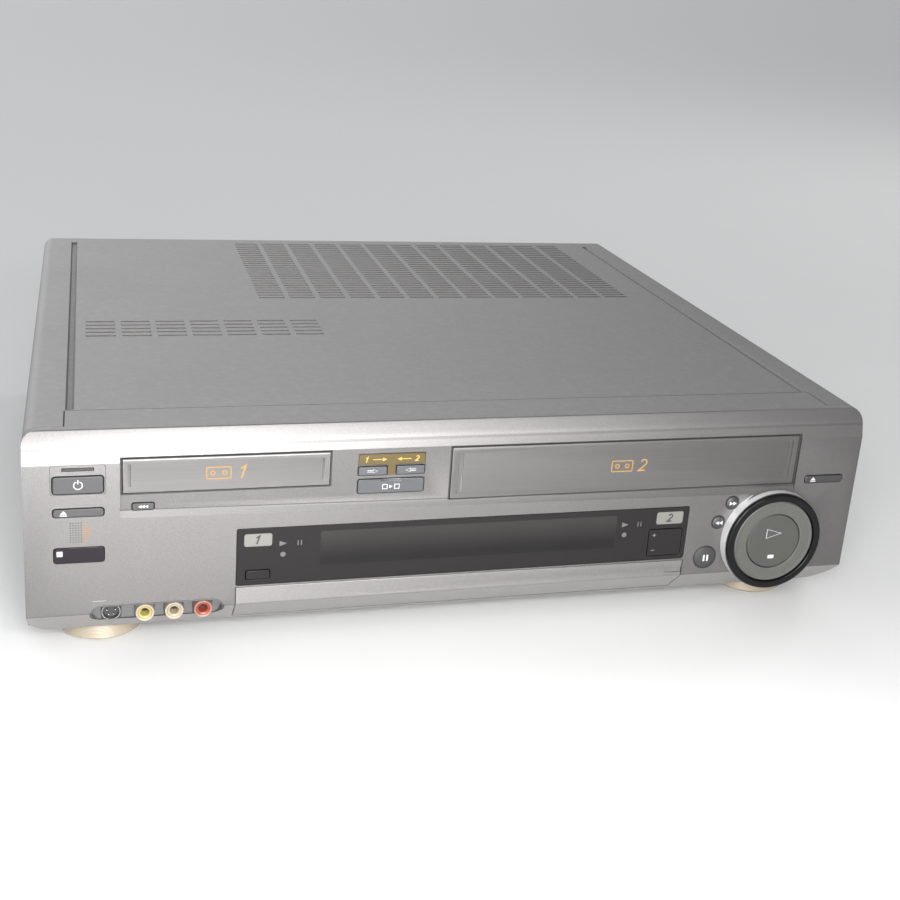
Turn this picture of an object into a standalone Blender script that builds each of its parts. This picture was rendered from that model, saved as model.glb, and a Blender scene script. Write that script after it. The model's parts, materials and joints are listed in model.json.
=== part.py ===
"""Double-deck video cassette recorder: a small-cassette deck and a full-size deck in one case.

Metres, +Z up. The front faces -Y and the origin is the middle of the footprint, on the floor.
Places on the front are given from the left or right edge ("in") and below the top ("drop").
"""
from collections import namedtuple
from math import atan2, cos, hypot, pi, radians, sin, tan

import bmesh
import bpy
from mathutils import Matrix, Vector

# Whole recorder
BODY_DEPTH = 0.3760
FOOT_HEIGHT = 0.0114
TERMINAL_REACH = 0.0090
GAP = 0.0003
OVERRUN = 0.0020
WELD = 0.00001

# Front panel: a bright band leans out to an upright face, and a chamfer runs back to the bottom edge
FACE_REACH = 0.0060
BAND_DROP = 0.0148
BAND_BULGE = 0.0012
BAND_MIDDLE_SHARE = 0.45
CHAMFER_RISE = 0.0150
CHAMFER_RUN = 0.0148
PANEL_WALL = 0.0030
PANEL_UPPER_RADIUS = 0.0060
PANEL_LOWER_RADIUS = 0.0130
PANEL_EDGE_RADIUS = 0.0010
PANEL_CREASE_RADIUS = 0.0016
PANEL_SIDE_BACK = 0.0040
PANEL_SIDE_MARGIN = 0.0010
TONGUE_IN = 0.0187
TONGUE_BACK = 0.0243
TONGUE_SHEET = 0.0020
LIP_IN = 0.0150
LIP_BACK = 0.0220
LIP_SHEET = 0.0022

# Metal cover
COVER_SHEET = 0.0010
COVER_RADIUS = 0.0060
GROOVE_WIDTH = 0.0041
GROOVE_DEPTH = 0.0005
GROOVE_BACK_MARGIN = 0.0120
VENT_LENGTH = 0.0162
VENT_WIDTH = 0.0032
VENT_PITCH = 0.0196
BIG_VENT_RIGHT_IN = 0.0448
BIG_VENT_FRONT = 0.2174
BIG_VENT_ROW_PITCH = 0.0137
BIG_VENT_COLUMNS = 13
BIG_VENT_ROWS = 11
SMALL_VENT_LEFT_IN = 0.0281
SMALL_VENT_FRONT = 0.1400
SMALL_VENT_ROW_PITCH = 0.0062
SMALL_VENT_COLUMNS = 7
SMALL_VENT_ROWS = 5

# Tray, rear panel and feet
TRAY_SHEET = 0.0012
TRAY_FLANGE = 0.0140
POST_RADIUS = 0.0035
REAR_SHEET = 0.0014
REAR_INSET = 0.0012
FOOT_RADIUS = 0.0210
FOOT_SOLE_RADIUS = 0.0185
FOOT_SHOULDER_RADIUS = 0.0185
FOOT_BAND_LOW = 0.0026
FOOT_BAND_HIGH = 0.0092
FOOT_IN = 0.0340
FOOT_FROM_FRONT = 0.0340
FOOT_FROM_BACK = 0.0420

# Doors and the sunk zone they stand in
DOOR_DROP = 0.0134
DOOR_CLEARANCE = 0.0008
DOOR_THICKNESS = 0.0022
DOOR_STAND = 0.0004
SMALL_DOOR_IN = 0.0440
SMALL_DOOR_WIDTH = 0.0965
SMALL_DOOR_HEIGHT = 0.0171
LARGE_DOOR_IN = 0.0376
LARGE_DOOR_WIDTH = 0.1910
LARGE_DOOR_HEIGHT = 0.0272
BETWEEN_DOORS = 0.0609
ZONE_MARGIN = 0.0012
ZONE_DEPTH = 0.0018
ZONE_LEFT_DROP = 0.0393
ZONE_RIGHT_DROP = 0.0428
ZONE_SLOPE_HEIGHT = 0.0030
DOOR_EDGE_SHARE = 0.49
DOOR_GROOVE_IN = 0.0032
DOOR_GROOVE_PITCH = 0.0022
DOOR_GROOVE_WIDTH = 0.0007
DOOR_GROOVE_DEPTH = 0.0004
DOOR_GROOVE_MARGIN = 0.0030

# Keys of the two outer columns
KEY_CLEARANCE = 0.0004
KEY_STAND = 0.0006
KEY_DEPTH = 0.0055
KEY_WIDTH = 0.0225
KEY_RADIUS = 0.0012
LEFT_COLUMN_IN = 0.0243
RIGHT_COLUMN_IN = 0.0196
LAMP_DROP = 0.0166
LAMP_WIDTH = 0.0137
LAMP_HEIGHT = 0.0011
POWER_DROP = 0.0205
POWER_HEIGHT = 0.0085
EJECT_DROP = 0.0365
EJECT_HEIGHT = 0.0040
IR_DROP = 0.0562
IR_HEIGHT = 0.0077
IR_DEPTH = 0.0040
IR_STAND = 0.0002

# Keys in the sunk zone
QUICK_REWIND_IN = 0.0532
QUICK_REWIND_DROP = 0.0358
QUICK_REWIND_WIDTH = 0.0098
QUICK_REWIND_HEIGHT = 0.0034
QUICK_REWIND_RADIUS = 0.0006
DUBBING_WIDTH = 0.0330
DUBBING_ARROW_WIDTH = 0.0141
DUBBING_ARROW_DROP = 0.0220
DUBBING_ARROW_HEIGHT = 0.0044
DUBBING_ARROW_RADIUS = 0.0005
DUBBING_START_DROP = 0.0286
DUBBING_START_HEIGHT = 0.0073
DUBBING_START_RADIUS = 0.0011
DUBBING_SLOT_HEIGHT = 0.0008
DUBBING_SLOT_DEPTH = 0.0006
DUBBING_SLOT_SHARE = 0.30
LABEL_DROP = 0.0155
LABEL_HEAD_HEIGHT = 0.0056
LABEL_STEM_WIDTH = 0.0040
LABEL_STEM_DROP = 0.0262
LABEL_THICKNESS = 0.0008
LABEL_SEAT = 0.0004
LABEL_TAPER = 0.0002

# Round keys beside the dial
ROUND_KEY_RADIUS = 0.0035
ROUND_KEY_DOME = 0.0006
PAUSE_RADIUS = 0.0062
FAST_FORWARD_GAP = 0.0006
REWIND_GAP = 0.0011
PAUSE_GAP = 0.0034
FAST_FORWARD_TURN = 139.2
REWIND_TURN = 162.2
PAUSE_TURN = 196.0

# Dial: a raised boss of the panel carries a black ring, the shuttle ring and the play and stop disc
DIAL_IN = 0.0480
DIAL_DROP = 0.0710
DIAL_STAND = 0.0078
BOSS_RADIUS = 0.0279
BOSS_BORE_RADIUS = 0.0245
BOSS_STAND = 0.0056
BOSS_DEPTH = 0.0088
BOSS_FLOOR = 0.0005
BOSS_WEB = 0.0025
BEZEL_RADIUS = 0.0275
BEZEL_BORE_RADIUS = 0.0236
BEZEL_ROUNDING = 0.0008
SHUTTLE_RADIUS = 0.0233
SHUTTLE_BORE_RADIUS = 0.0158
SHUTTLE_STAND = 0.0070
SHUTTLE_EDGE = 0.0006
SHUTTLE_DISH = 0.0005
DISC_RADIUS = 0.0154
DISC_STAND = 0.0064
DISC_LIFT = 0.0012
DISC_EDGE = 0.0004
DISC_DISH = 0.0003

# Display window and what shows through it
WINDOW_LEFT_IN = 0.0968
WINDOW_RIGHT_IN = 0.0970
WINDOW_DROP = 0.0511
WINDOW_HEIGHT = 0.0298
WINDOW_THICKNESS = 0.0020
WINDOW_RADIUS = 0.0008
WINDOW_LEDGE = 0.0016
AUDIO_IN = 0.0103
AUDIO_DROP = 0.0734
AUDIO_WIDTH = 0.0113
AUDIO_HEIGHT = 0.0045
AUDIO_RADIUS = 0.0006
ROCKER_IN = 0.0118
ROCKER_DROP = 0.0635
ROCKER_WIDTH = 0.0186
ROCKER_HEIGHT = 0.0150
ROCKER_RADIUS = 0.0008
ROCKER_THICKNESS = 0.0040
BOARD_THICKNESS = 0.0016
TUBE_IN = 0.0405
TUBE_RIGHT_IN = 0.0397
TUBE_DROP = 0.0536
TUBE_HEIGHT = 0.0200
TUBE_DEPTH = 0.0060
DISPLAY_BOARD_MARGIN = 0.0060

# Drop-down flap over the lower controls, and its keys
FLAP_DROP = 0.0823
FLAP_TOP_RISE = 0.0240
FLAP_THICKNESS = 0.0018
FLAP_SIDE_GAP = 0.0004
FLAP_POCKET_DEPTH = 0.0034
FLAP_POCKET_TOP_GAP = 0.0003
FLAP_BACKING = 0.0018
FLAP_END_MARGIN = 0.0026
FLAP_NOTCH_WIDTH = 0.0094
FLAP_NOTCH_DEPTH = 0.0006
FLAP_NOTCH_DROP = 0.0862
FLAP_NOTCH_HEIGHT = 0.0030
FLAP_KEY_WIDTH = 0.0110
FLAP_KEY_HEIGHT = 0.0040
FLAP_KEY_RADIUS = 0.0008
FLAP_KEY_STAND = 0.0008
FLAP_KEY_DEPTH = 0.0045
FLAP_KEY_DROP = 0.0856
FLAP_KEY_PITCH = 0.0180
FLAP_KEY_FIRST_IN = 0.0300

# Front sockets
POD_IN = 0.0285
POD_WIDTH = 0.0630
POD_DROP = 0.0871
POD_HEIGHT = 0.0114
POD_RADIUS = 0.0056
POD_FLOOR = 0.0066
POD_SHEET = 0.0006
HOLDER_THICKNESS = 0.0024
S_VIDEO_IN = 0.0384
FIRST_JACK_IN = 0.0540
JACK_PITCH = 0.0137
JACK_RADIUS = 0.0044
JACK_RIM = 0.0006
JACK_THROAT_RADIUS = 0.0031
JACK_BORE_RADIUS = 0.0016
JACK_STAND = 0.0062
JACK_BORE_DEPTH = 0.0050
JACK_STEM_RADIUS = 0.0030
JACK_STEM_DEPTH = 0.0060
S_VIDEO_RADIUS = 0.0045
S_VIDEO_BORE_RADIUS = 0.0038
S_VIDEO_STAND = 0.0028
S_VIDEO_BORE_DEPTH = 0.0024

# Terminals at the back
TERMINAL_WIDTH = 0.1040
TERMINAL_HEIGHT = 0.0420
TERMINAL_SHEET = 0.0016
TERMINAL_X = 0.0250
TERMINAL_Z = 0.0560
TERMINAL_COLUMNS = 5
TERMINAL_ROWS = 2
TERMINAL_COLUMN_PITCH = 0.0180
TERMINAL_ROW_PITCH = 0.0200
TERMINAL_BORE_DEPTH = 0.0060
ANTENNA_WIDTH = 0.0420
ANTENNA_HEIGHT = 0.0300
ANTENNA_IN = 0.0750
ANTENNA_Z = 0.0560
ANTENNA_DEPTH = 0.0300
ANTENNA_STEM_RADIUS = 0.0046
ANTENNA_STEM_PITCH = 0.0200
ANTENNA_PIN_BORE = 0.0012
INLET_WIDTH = 0.0260
INLET_HEIGHT = 0.0190
INLET_IN = 0.0550
INLET_Z = 0.0400
INLET_DEPTH = 0.0160
INLET_FLANGE = 0.0022
INLET_WELL_WIDTH = 0.0200
INLET_WELL_HEIGHT = 0.0090
INLET_WELL_DEPTH = 0.0120
INLET_PIN_RADIUS = 0.0012
INLET_PIN_PITCH = 0.0080

# Decks: what both share
DECK_SHEET = 0.0014
GUIDE_SHEET = 0.0012
CARRIAGE_SHEET = 0.0010
CARRIAGE_SIDE_GAP = 0.0003
CASSETTE_PLAY = 0.0008
PIN_RADIUS = 0.0015
PIN_CLEARANCE = 0.0003
PIN_REACH = 0.0022
PIN_HEIGHT_SHARE = 0.5
FRONT_PIN_SHARE = 0.16
REAR_PIN_SHARE = 0.84
REEL_DEPTH_SHARE = 0.46
CAPSTAN_X_SHARE = 0.30
DECK_END_MARGIN = 0.0060
GUIDE_TOP_MARGIN = 0.0020
LEG_SHEET = 0.0014

# Full-size deck
LARGE_CASSETTE_WIDTH = 0.1880
LARGE_CASSETTE_DEPTH = 0.1040
LARGE_CASSETTE_HEIGHT = 0.0250
LARGE_CARRIAGE_FRONT = 0.0290
LARGE_TRAVEL_IN = 0.0450
LARGE_TRAVEL_DOWN = 0.0190
LARGE_LIP = 0.0120
LARGE_DECK_DROP = 0.0730
LARGE_REEL_PITCH = 0.0922
LARGE_REEL_RADIUS = 0.0170
LARGE_REEL_TABLE = 0.0090
LARGE_SPINDLE_RADIUS = 0.0050
LARGE_SPINDLE_HEIGHT = 0.0200
LARGE_DRUM_RADIUS = 0.0310
LARGE_DRUM_SPLIT = 0.0240
LARGE_DRUM_UPPER = 0.0150
LARGE_DRUM_SPACE = 0.0080
LARGE_CAPSTAN_RADIUS = 0.0017
LARGE_CAPSTAN_HEIGHT = 0.0360

# Small-cassette deck
SMALL_CASSETTE_WIDTH = 0.0950
SMALL_CASSETTE_DEPTH = 0.0625
SMALL_CASSETTE_HEIGHT = 0.0150
SMALL_CARRIAGE_FRONT = 0.0270
SMALL_TRAVEL_IN = 0.0300
SMALL_TRAVEL_DOWN = 0.0110
SMALL_LIP = 0.0090
SMALL_DECK_DROP = 0.0500
SMALL_REEL_PITCH = 0.0440
SMALL_REEL_RADIUS = 0.0105
SMALL_REEL_TABLE = 0.0045
SMALL_SPINDLE_RADIUS = 0.0030
SMALL_SPINDLE_HEIGHT = 0.0110
SMALL_DRUM_RADIUS = 0.0200
SMALL_DRUM_SPLIT = 0.0150
SMALL_DRUM_UPPER = 0.0090
SMALL_DRUM_SPACE = 0.0060
SMALL_CAPSTAN_RADIUS = 0.0013
SMALL_CAPSTAN_HEIGHT = 0.0240

# Drum, reel and capstan details, as shares of their own radius or height
DRUM_STEP_SHARE = 0.92
DRUM_HUB_SHARE = 0.42
DRUM_HUB_RISE_SHARE = 0.20
REEL_RIM_SHARE = 0.35
REEL_STEM_SHARE = 1.6
VANES = 3
SPINDLE_TIP_SHARE = 0.55
SPINDLE_SHOULDER_SHARE = 0.75
VANE_REACH_SHARE = 1.35
VANE_WIDTH_SHARE = 0.32
VANE_TOP_SHARE = 0.70
CAPSTAN_COLLAR_SHARE = 3.4
CAPSTAN_COLLAR_HEIGHT_SHARE = 0.22

# Main circuit board and power supply
MAIN_BOARD_MARGIN = 0.0080
MAIN_BOARD_LIFT = 0.0090
MAIN_BOARD_POST_IN = 0.0080
SUPPLY_IN = 0.0120
SUPPLY_WIDTH = 0.1050
SUPPLY_LENGTH = 0.1050
SUPPLY_HEIGHT = 0.0480
SUPPLY_BACK_MARGIN = 0.0010
SUPPLY_ROUNDING = 0.0015
SUPPLY_RIB_WIDTH = 0.0030
SUPPLY_RIB_DEPTH = 0.0012
SUPPLY_RIBS = 7

# Facets
SMALL_ARC_STEPS = 3
ARC_STEPS = 5
KEY_STEPS = 16
JACK_STEPS = 14
PIN_STEPS = 10
FOOT_STEPS = 24
REEL_STEPS = 16
DRUM_STEPS = 28
DIAL_STEPS = 40
BOSS_SEAT_STEPS = 34
SMOOTH_ANGLE = 35.0
FLAT_ANGLE = 0.002

# Planes worked out from the driving sizes
FRONT = (FACE_REACH + DIAL_STAND - BODY_DEPTH - TERMINAL_REACH) / 2
FACE = FRONT - FACE_REACH
BACK = FRONT + BODY_DEPTH
BASE = FOOT_HEIGHT + GAP
HEIGHT = BASE + FLAP_TOP_RISE + FLAP_DROP
WIDTH = SMALL_DOOR_IN + SMALL_DOOR_WIDTH + BETWEEN_DOORS + LARGE_DOOR_WIDTH + LARGE_DOOR_IN
HALF = WIDTH / 2
CREASE = BASE + CHAMFER_RISE
CHAMFER_LENGTH = hypot(CHAMFER_RUN, CHAMFER_RISE)
CHAMFER_END = FACE + CHAMFER_RUN
CHAMFER_WALL_RUN = PANEL_WALL * CHAMFER_LENGTH / CHAMFER_RISE
PANEL_SIDE_RUN = CHAMFER_WALL_RUN + PANEL_SIDE_MARGIN
SIDE_BACK = FRONT + PANEL_SIDE_BACK
TRAY_TOP = BASE + TRAY_SHEET
COVER_UNDER = HEIGHT - COVER_SHEET
ZONE_FLOOR = FACE + ZONE_DEPTH


def from_left(distance):
    """X at a distance in from the left edge."""
    return distance - HALF


def from_right(distance):
    """X at a distance in from the right edge."""
    return HALF - distance


def below_top(drop):
    """Z at a drop below the top plane."""
    return HEIGHT - drop


def behind(distance):
    """Y at a distance behind the panel's top front edge."""
    return FRONT + distance


# Scene, collections and materials

for old in list(bpy.data.objects):
    bpy.data.objects.remove(old, do_unlink=True)

PARTS = bpy.data.collections.new("video_recorder")
CUTTERS = bpy.data.collections.new("cutters")
bpy.context.scene.collection.children.link(PARTS)
bpy.context.scene.collection.children.link(CUTTERS)

# Colour, roughness and metallic of each finish
SILVER_PLASTIC = ((0.33, 0.32, 0.31), 0.42, 0.35)
DARK_SILVER = ((0.20, 0.20, 0.20), 0.40, 0.35)
PAINTED_STEEL = ((0.24, 0.235, 0.23), 0.45, 0.55)
BARE_STEEL = ((0.55, 0.55, 0.54), 0.35, 0.95)
POLISHED_STEEL = ((0.70, 0.70, 0.70), 0.15, 1.0)
BLACK_GLOSS = ((0.012, 0.012, 0.016), 0.10, 0.0)
BLACK_PLASTIC = ((0.03, 0.03, 0.03), 0.50, 0.0)
SMOKED_WINDOW = ((0.02, 0.02, 0.025), 0.08, 0.0)
VIOLET_WINDOW = ((0.03, 0.015, 0.04), 0.12, 0.0)
GOLD_FOOT = ((0.62, 0.50, 0.30), 0.35, 0.60)
BROWN_LABEL = ((0.10, 0.06, 0.02), 0.45, 0.0)
GREEN_BOARD = ((0.03, 0.16, 0.07), 0.50, 0.0)
RED_LAMP = ((0.35, 0.02, 0.02), 0.25, 0.0)
YELLOW_JACK = ((0.75, 0.60, 0.08), 0.40, 0.0)
WHITE_JACK = ((0.80, 0.78, 0.72), 0.40, 0.0)
RED_JACK = ((0.60, 0.05, 0.04), 0.40, 0.0)
WHITE_PLASTIC = ((0.70, 0.69, 0.66), 0.45, 0.0)


def part(obj, name, finish):
    """File an object as a named piece with a Principled material of its own."""
    obj.name = name
    obj.data.name = name
    colour, roughness, metallic = finish
    material = bpy.data.materials.new(name)
    material.use_nodes = True
    shader = material.node_tree.nodes["Principled BSDF"]
    shader.inputs["Base Color"].default_value = (*colour, 1.0)
    shader.inputs["Roughness"].default_value = roughness
    shader.inputs["Metallic"].default_value = metallic
    obj.data.materials.clear()
    obj.data.materials.append(material)
    PARTS.objects.link(obj)
    return obj


def cutter(obj):
    """File an object as a tool for Booleans, which no render shows."""
    CUTTERS.objects.link(obj)
    obj.hide_render = True
    obj.display_type = "WIRE"
    return obj


def boolean(obj, operation, tools):
    """Cut an object by tools, join them to it or keep what it shares with them, in turn."""
    for tool in tools:
        modifier = obj.modifiers.new(tool.name, "BOOLEAN")
        modifier.operation = operation
        modifier.solver = "EXACT"
        modifier.object = cutter(tool)
    return obj


def cut(obj, *tools):
    return boolean(obj, "DIFFERENCE", tools)


def join(obj, *tools):
    return boolean(obj, "UNION", tools)


def keep(obj, *tools):
    return boolean(obj, "INTERSECT", tools)


def pivot(obj, point):
    """Move an object's origin to its joint, and leave its shape where it is."""
    point = Vector(point)
    obj.data.transform(Matrix.Translation(-point))
    obj.location = point
    return obj


# Shapes

def as_object(name, data):
    data.name = name
    data.shade_smooth()
    data.set_sharp_from_angle(angle=radians(SMOOTH_ANGLE))
    return bpy.data.objects.new(name, data)


def made_real(name, source):
    """The evaluated shape of a curve or a modified object, as a mesh whose seams are welded."""
    PARTS.objects.link(source)
    shaped = source.evaluated_get(bpy.context.evaluated_depsgraph_get())
    data = bpy.data.meshes.new_from_object(shaped)
    bpy.data.objects.remove(source, do_unlink=True)
    form = bmesh.new()
    form.from_mesh(data)
    bmesh.ops.remove_doubles(form, verts=form.verts, dist=WELD)
    bmesh.ops.dissolve_limit(form, angle_limit=FLAT_ANGLE, verts=form.verts, edges=form.edges)
    bmesh.ops.recalc_face_normals(form, faces=form.faces)
    form.to_mesh(data)
    form.free()
    return as_object(name, data)


def block(name, low, high, rounding=0):
    """A box between two corners, with its edges rounded when a rounding is given."""
    low, high = Vector(low), Vector(high)
    form = bmesh.new()
    bmesh.ops.create_cube(form, size=1)
    bmesh.ops.scale(form, vec=high - low, verts=form.verts)
    bmesh.ops.translate(form, vec=(low + high) / 2, verts=form.verts)
    if rounding:
        bmesh.ops.bevel(form, geom=form.edges[:], offset=rounding, segments=2, profile=0.5, affect="EDGES")
    data = bpy.data.meshes.new(name)
    form.to_mesh(data)
    form.free()
    return as_object(name, data)


def rounded(corners, steps=SMALL_ARC_STEPS):
    """Outline points; each corner is (u, v, radius), and a radius of zero keeps it sharp."""
    points = []
    for index, (u, v, radius) in enumerate(corners):
        corner = Vector((u, v))
        if not radius:
            points.append(corner)
            continue
        back = (Vector(corners[index - 1][:2]) - corner).normalized()
        ahead = (Vector(corners[(index + 1) % len(corners)][:2]) - corner).normalized()
        half = back.angle(ahead) / 2
        centre = corner + (back + ahead).normalized() * radius / sin(half)
        first = corner + back * radius / tan(half) - centre
        last = corner + ahead * radius / tan(half) - centre
        start = atan2(first.y, first.x)
        sweep = atan2(last.y, last.x) - start
        sweep -= 2 * pi * round(sweep / (2 * pi))
        for step in range(steps + 1):
            angle = start + sweep * step / steps
            points.append(centre + Vector((cos(angle), sin(angle))) * radius)
    return points


def rectangle(left, right, low, high, radius=0, steps=SMALL_ARC_STEPS):
    """Outline of a rectangle whose four corners share one radius."""
    corners = ((left, low), (right, low), (right, high), (left, high))
    return rounded([(u, v, radius) for u, v in corners], steps)


def disc(u, v, radius, steps):
    """Outline of a circle."""
    turns = [2 * pi * step / steps for step in range(steps)]
    return [Vector((u + radius * cos(turn), v + radius * sin(turn))) for turn in turns]


# How an outline's own axes and its thickness lie in the recorder
TURN_TO = {
    "X": Matrix(((0, 0, 1), (1, 0, 0), (0, 1, 0))),
    "Y": Matrix(((1, 0, 0), (0, 0, -1), (0, 1, 0))),
    "Z": Matrix.Identity(3),
}


def prism(name, outlines, along, low, high):
    """Flat outlines given a thickness along an axis; one inside another is a hole.

    An outline is (y, z) along X, (x, z) along Y and (x, y) along Z.
    """
    curve = bpy.data.curves.new(name, "CURVE")
    curve.dimensions = "2D"
    curve.fill_mode = "BOTH"
    curve.extrude = (high - low) / 2
    for outline in outlines:
        spline = curve.splines.new("POLY")
        spline.points.add(len(outline) - 1)
        for point, (u, v) in zip(spline.points, outline):
            point.co = (u, v, 0, 1)
        spline.use_cyclic_u = True
    obj = made_real(name, bpy.data.objects.new(name, curve))
    middle = Vector([(low + high) / 2 if axis == along else 0 for axis in "XYZ"])
    obj.data.transform(Matrix.Translation(middle) @ TURN_TO[along].to_4x4())
    return obj


def turned(name, profile, steps, centre, axis="UP", ring=False):
    """A profile of (radius, height) turned about an axis that points up, to the front or to the back.

    It runs down the outer side, top to bottom; a ring's profile is a closed loop.
    """
    data = bpy.data.meshes.new(name)
    count = len(profile)
    edges = [(index, index + 1) for index in range(count - 1)]
    if ring:
        edges.append((count - 1, 0))
    data.from_pydata([(radius, 0, height) for radius, height in profile], edges, [])
    source = bpy.data.objects.new(name, data)
    screw = source.modifiers.new("turn", "SCREW")
    screw.steps = steps
    screw.render_steps = steps
    screw.use_merge_vertices = True
    screw.merge_threshold = WELD
    obj = made_real(name, source)
    turn = {"UP": 0, "FRONT": pi / 2, "BACK": -pi / 2}[axis]
    obj.data.transform(Matrix.Translation(Vector(centre)) @ Matrix.Rotation(turn, 4, "X"))
    return obj


def mirrored_pair(make):
    """Call a maker once for the left side and once for the right."""
    return [make(side, sign) for side, sign in (("left", -1), ("right", 1))]


# Places on the front that more than one piece uses

LARGE_DOOR_RIGHT = from_right(LARGE_DOOR_IN)
LARGE_DOOR_LEFT = LARGE_DOOR_RIGHT - LARGE_DOOR_WIDTH
SMALL_DOOR_LEFT = from_left(SMALL_DOOR_IN)
SMALL_DOOR_RIGHT = SMALL_DOOR_LEFT + SMALL_DOOR_WIDTH
DUBBING_X = (SMALL_DOOR_RIGHT + LARGE_DOOR_LEFT) / 2
LEFT_COLUMN = from_left(LEFT_COLUMN_IN)
RIGHT_COLUMN = from_right(RIGHT_COLUMN_IN)
WINDOW_LEFT = from_left(WINDOW_LEFT_IN)
WINDOW_RIGHT = from_right(WINDOW_RIGHT_IN)
WINDOW_TOP = below_top(WINDOW_DROP)
WINDOW_LOW = WINDOW_TOP - WINDOW_HEIGHT
DIAL_X = from_right(DIAL_IN)
DIAL_Z = below_top(DIAL_DROP)


def key_outline(x, drop, width, height, radius, grow=0):
    """Front outline of a key whose top edge is at a drop, let out by a clearance all round."""
    top = below_top(drop)
    reach = width / 2 + grow
    corner = radius + grow
    return rectangle(x - reach, x + reach, top - height - grow, top + grow, corner)


# Name, outline values and surface of each flat key in the panel
PANEL_KEYS = {
    "power_button": (LEFT_COLUMN, POWER_DROP, KEY_WIDTH, POWER_HEIGHT, KEY_RADIUS, FACE),
    "left_eject_button": (LEFT_COLUMN, EJECT_DROP, KEY_WIDTH, EJECT_HEIGHT, KEY_RADIUS, FACE),
    "right_eject_button": (RIGHT_COLUMN, EJECT_DROP, KEY_WIDTH, EJECT_HEIGHT, KEY_RADIUS, FACE),
    "quick_rewind_button": (from_left(QUICK_REWIND_IN), QUICK_REWIND_DROP, QUICK_REWIND_WIDTH,
                            QUICK_REWIND_HEIGHT, QUICK_REWIND_RADIUS, ZONE_FLOOR),
    "dub_to_large_button": (DUBBING_X - (DUBBING_WIDTH - DUBBING_ARROW_WIDTH) / 2, DUBBING_ARROW_DROP,
                            DUBBING_ARROW_WIDTH, DUBBING_ARROW_HEIGHT, DUBBING_ARROW_RADIUS, ZONE_FLOOR),
    "dub_to_small_button": (DUBBING_X + (DUBBING_WIDTH - DUBBING_ARROW_WIDTH) / 2, DUBBING_ARROW_DROP,
                            DUBBING_ARROW_WIDTH, DUBBING_ARROW_HEIGHT, DUBBING_ARROW_RADIUS, ZONE_FLOOR),
    "dubbing_start_button": (DUBBING_X, DUBBING_START_DROP, DUBBING_WIDTH, DUBBING_START_HEIGHT,
                             DUBBING_START_RADIUS, ZONE_FLOOR),
}

def beside_dial(turn, gap, radius):
    """Centre and radius of a round key at a turn about the dial, a gap clear of the dial's boss."""
    reach = BOSS_RADIUS + gap + radius
    return DIAL_X + reach * cos(radians(turn)), DIAL_Z + reach * sin(radians(turn)), radius


# Name, centre and radius of each round key
ROUND_KEYS = {
    "fast_forward_button": beside_dial(FAST_FORWARD_TURN, FAST_FORWARD_GAP, ROUND_KEY_RADIUS),
    "rewind_button": beside_dial(REWIND_TURN, REWIND_GAP, ROUND_KEY_RADIUS),
    "pause_button": beside_dial(PAUSE_TURN, PAUSE_GAP, PAUSE_RADIUS),
}

# Name and place of each key behind the flap
FLAP_KEYS = {
    name: WINDOW_LEFT + FLAP_KEY_FIRST_IN + FLAP_KEY_PITCH * place
    for place, name in enumerate(("record_button", "timer_button", "input_button", "speed_button"))
}


def chamfer_y(z, run=0):
    """Y at a height on the chamfer's plane, or on a plane set back from it by a run."""
    return FACE + run + CHAMFER_RUN * (CREASE - z) / CHAMFER_RISE


def chamfer_z(y, run=0):
    """Height at a Y on the chamfer's plane, or on a plane set back from it by a run."""
    return CREASE - CHAMFER_RISE * (y - FACE - run) / CHAMFER_RUN


def chamfer_point(along, depth):
    """(y, z) at a distance down the chamfer from its crease, and a depth under its surface."""
    y = FACE + (along * CHAMFER_RUN + depth * CHAMFER_RISE) / CHAMFER_LENGTH
    z = CREASE + (depth * CHAMFER_RUN - along * CHAMFER_RISE) / CHAMFER_LENGTH
    return y, z


def bent_inside(depth):
    """(y, z) where a skin that follows the face and the chamfer bends, a depth under both."""
    return FACE + depth, chamfer_z(FACE + depth, depth * CHAMFER_LENGTH / CHAMFER_RISE)


# Front panel

def panel_side(wall_run):
    """Side outline of the panel's outer form."""
    back_z = chamfer_z(SIDE_BACK, wall_run)
    band_y = FRONT - FACE_REACH * BAND_MIDDLE_SHARE - BAND_BULGE
    band_z = HEIGHT - BAND_DROP * BAND_MIDDLE_SHARE
    return rounded([
        (SIDE_BACK, back_z, 0),
        (SIDE_BACK, HEIGHT, 0),
        (FRONT, HEIGHT, PANEL_EDGE_RADIUS),
        (band_y, band_z, BAND_DROP),
        (FACE, HEIGHT - BAND_DROP, PANEL_EDGE_RADIUS),
        (FACE, CREASE, PANEL_CREASE_RADIUS),
        (CHAMFER_END, BASE, 0),
        (CHAMFER_END + wall_run, BASE, 0),
    ])


def panel_hollow():
    """The room behind the panel's wall, inside its rounded corners."""
    far = behind(TONGUE_BACK) + OVERRUN
    under = HEIGHT - TONGUE_SHEET
    side = [
        (far, under),
        (FRONT + PANEL_WALL - TONGUE_SHEET * FACE_REACH / BAND_DROP, under),
        (FACE + PANEL_WALL, HEIGHT - BAND_DROP),
        bent_inside(PANEL_WALL),
        (chamfer_y(BASE - OVERRUN, CHAMFER_WALL_RUN), BASE - OVERRUN),
        (far, BASE - OVERRUN),
    ]
    reach = HALF - PANEL_WALL
    corner = PANEL_LOWER_RADIUS - PANEL_WALL
    low = BASE + LIP_SHEET
    front = rounded([(-reach, low, corner), (reach, low, corner), (reach, HEIGHT, 0), (-reach, HEIGHT, 0)],
                    ARC_STEPS)
    hollow = prism("panel_hollow", [side], "X", -HALF, HALF)
    return keep(hollow, prism("panel_hollow_front", [front], "Y", FACE - OVERRUN, far + OVERRUN))


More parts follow.
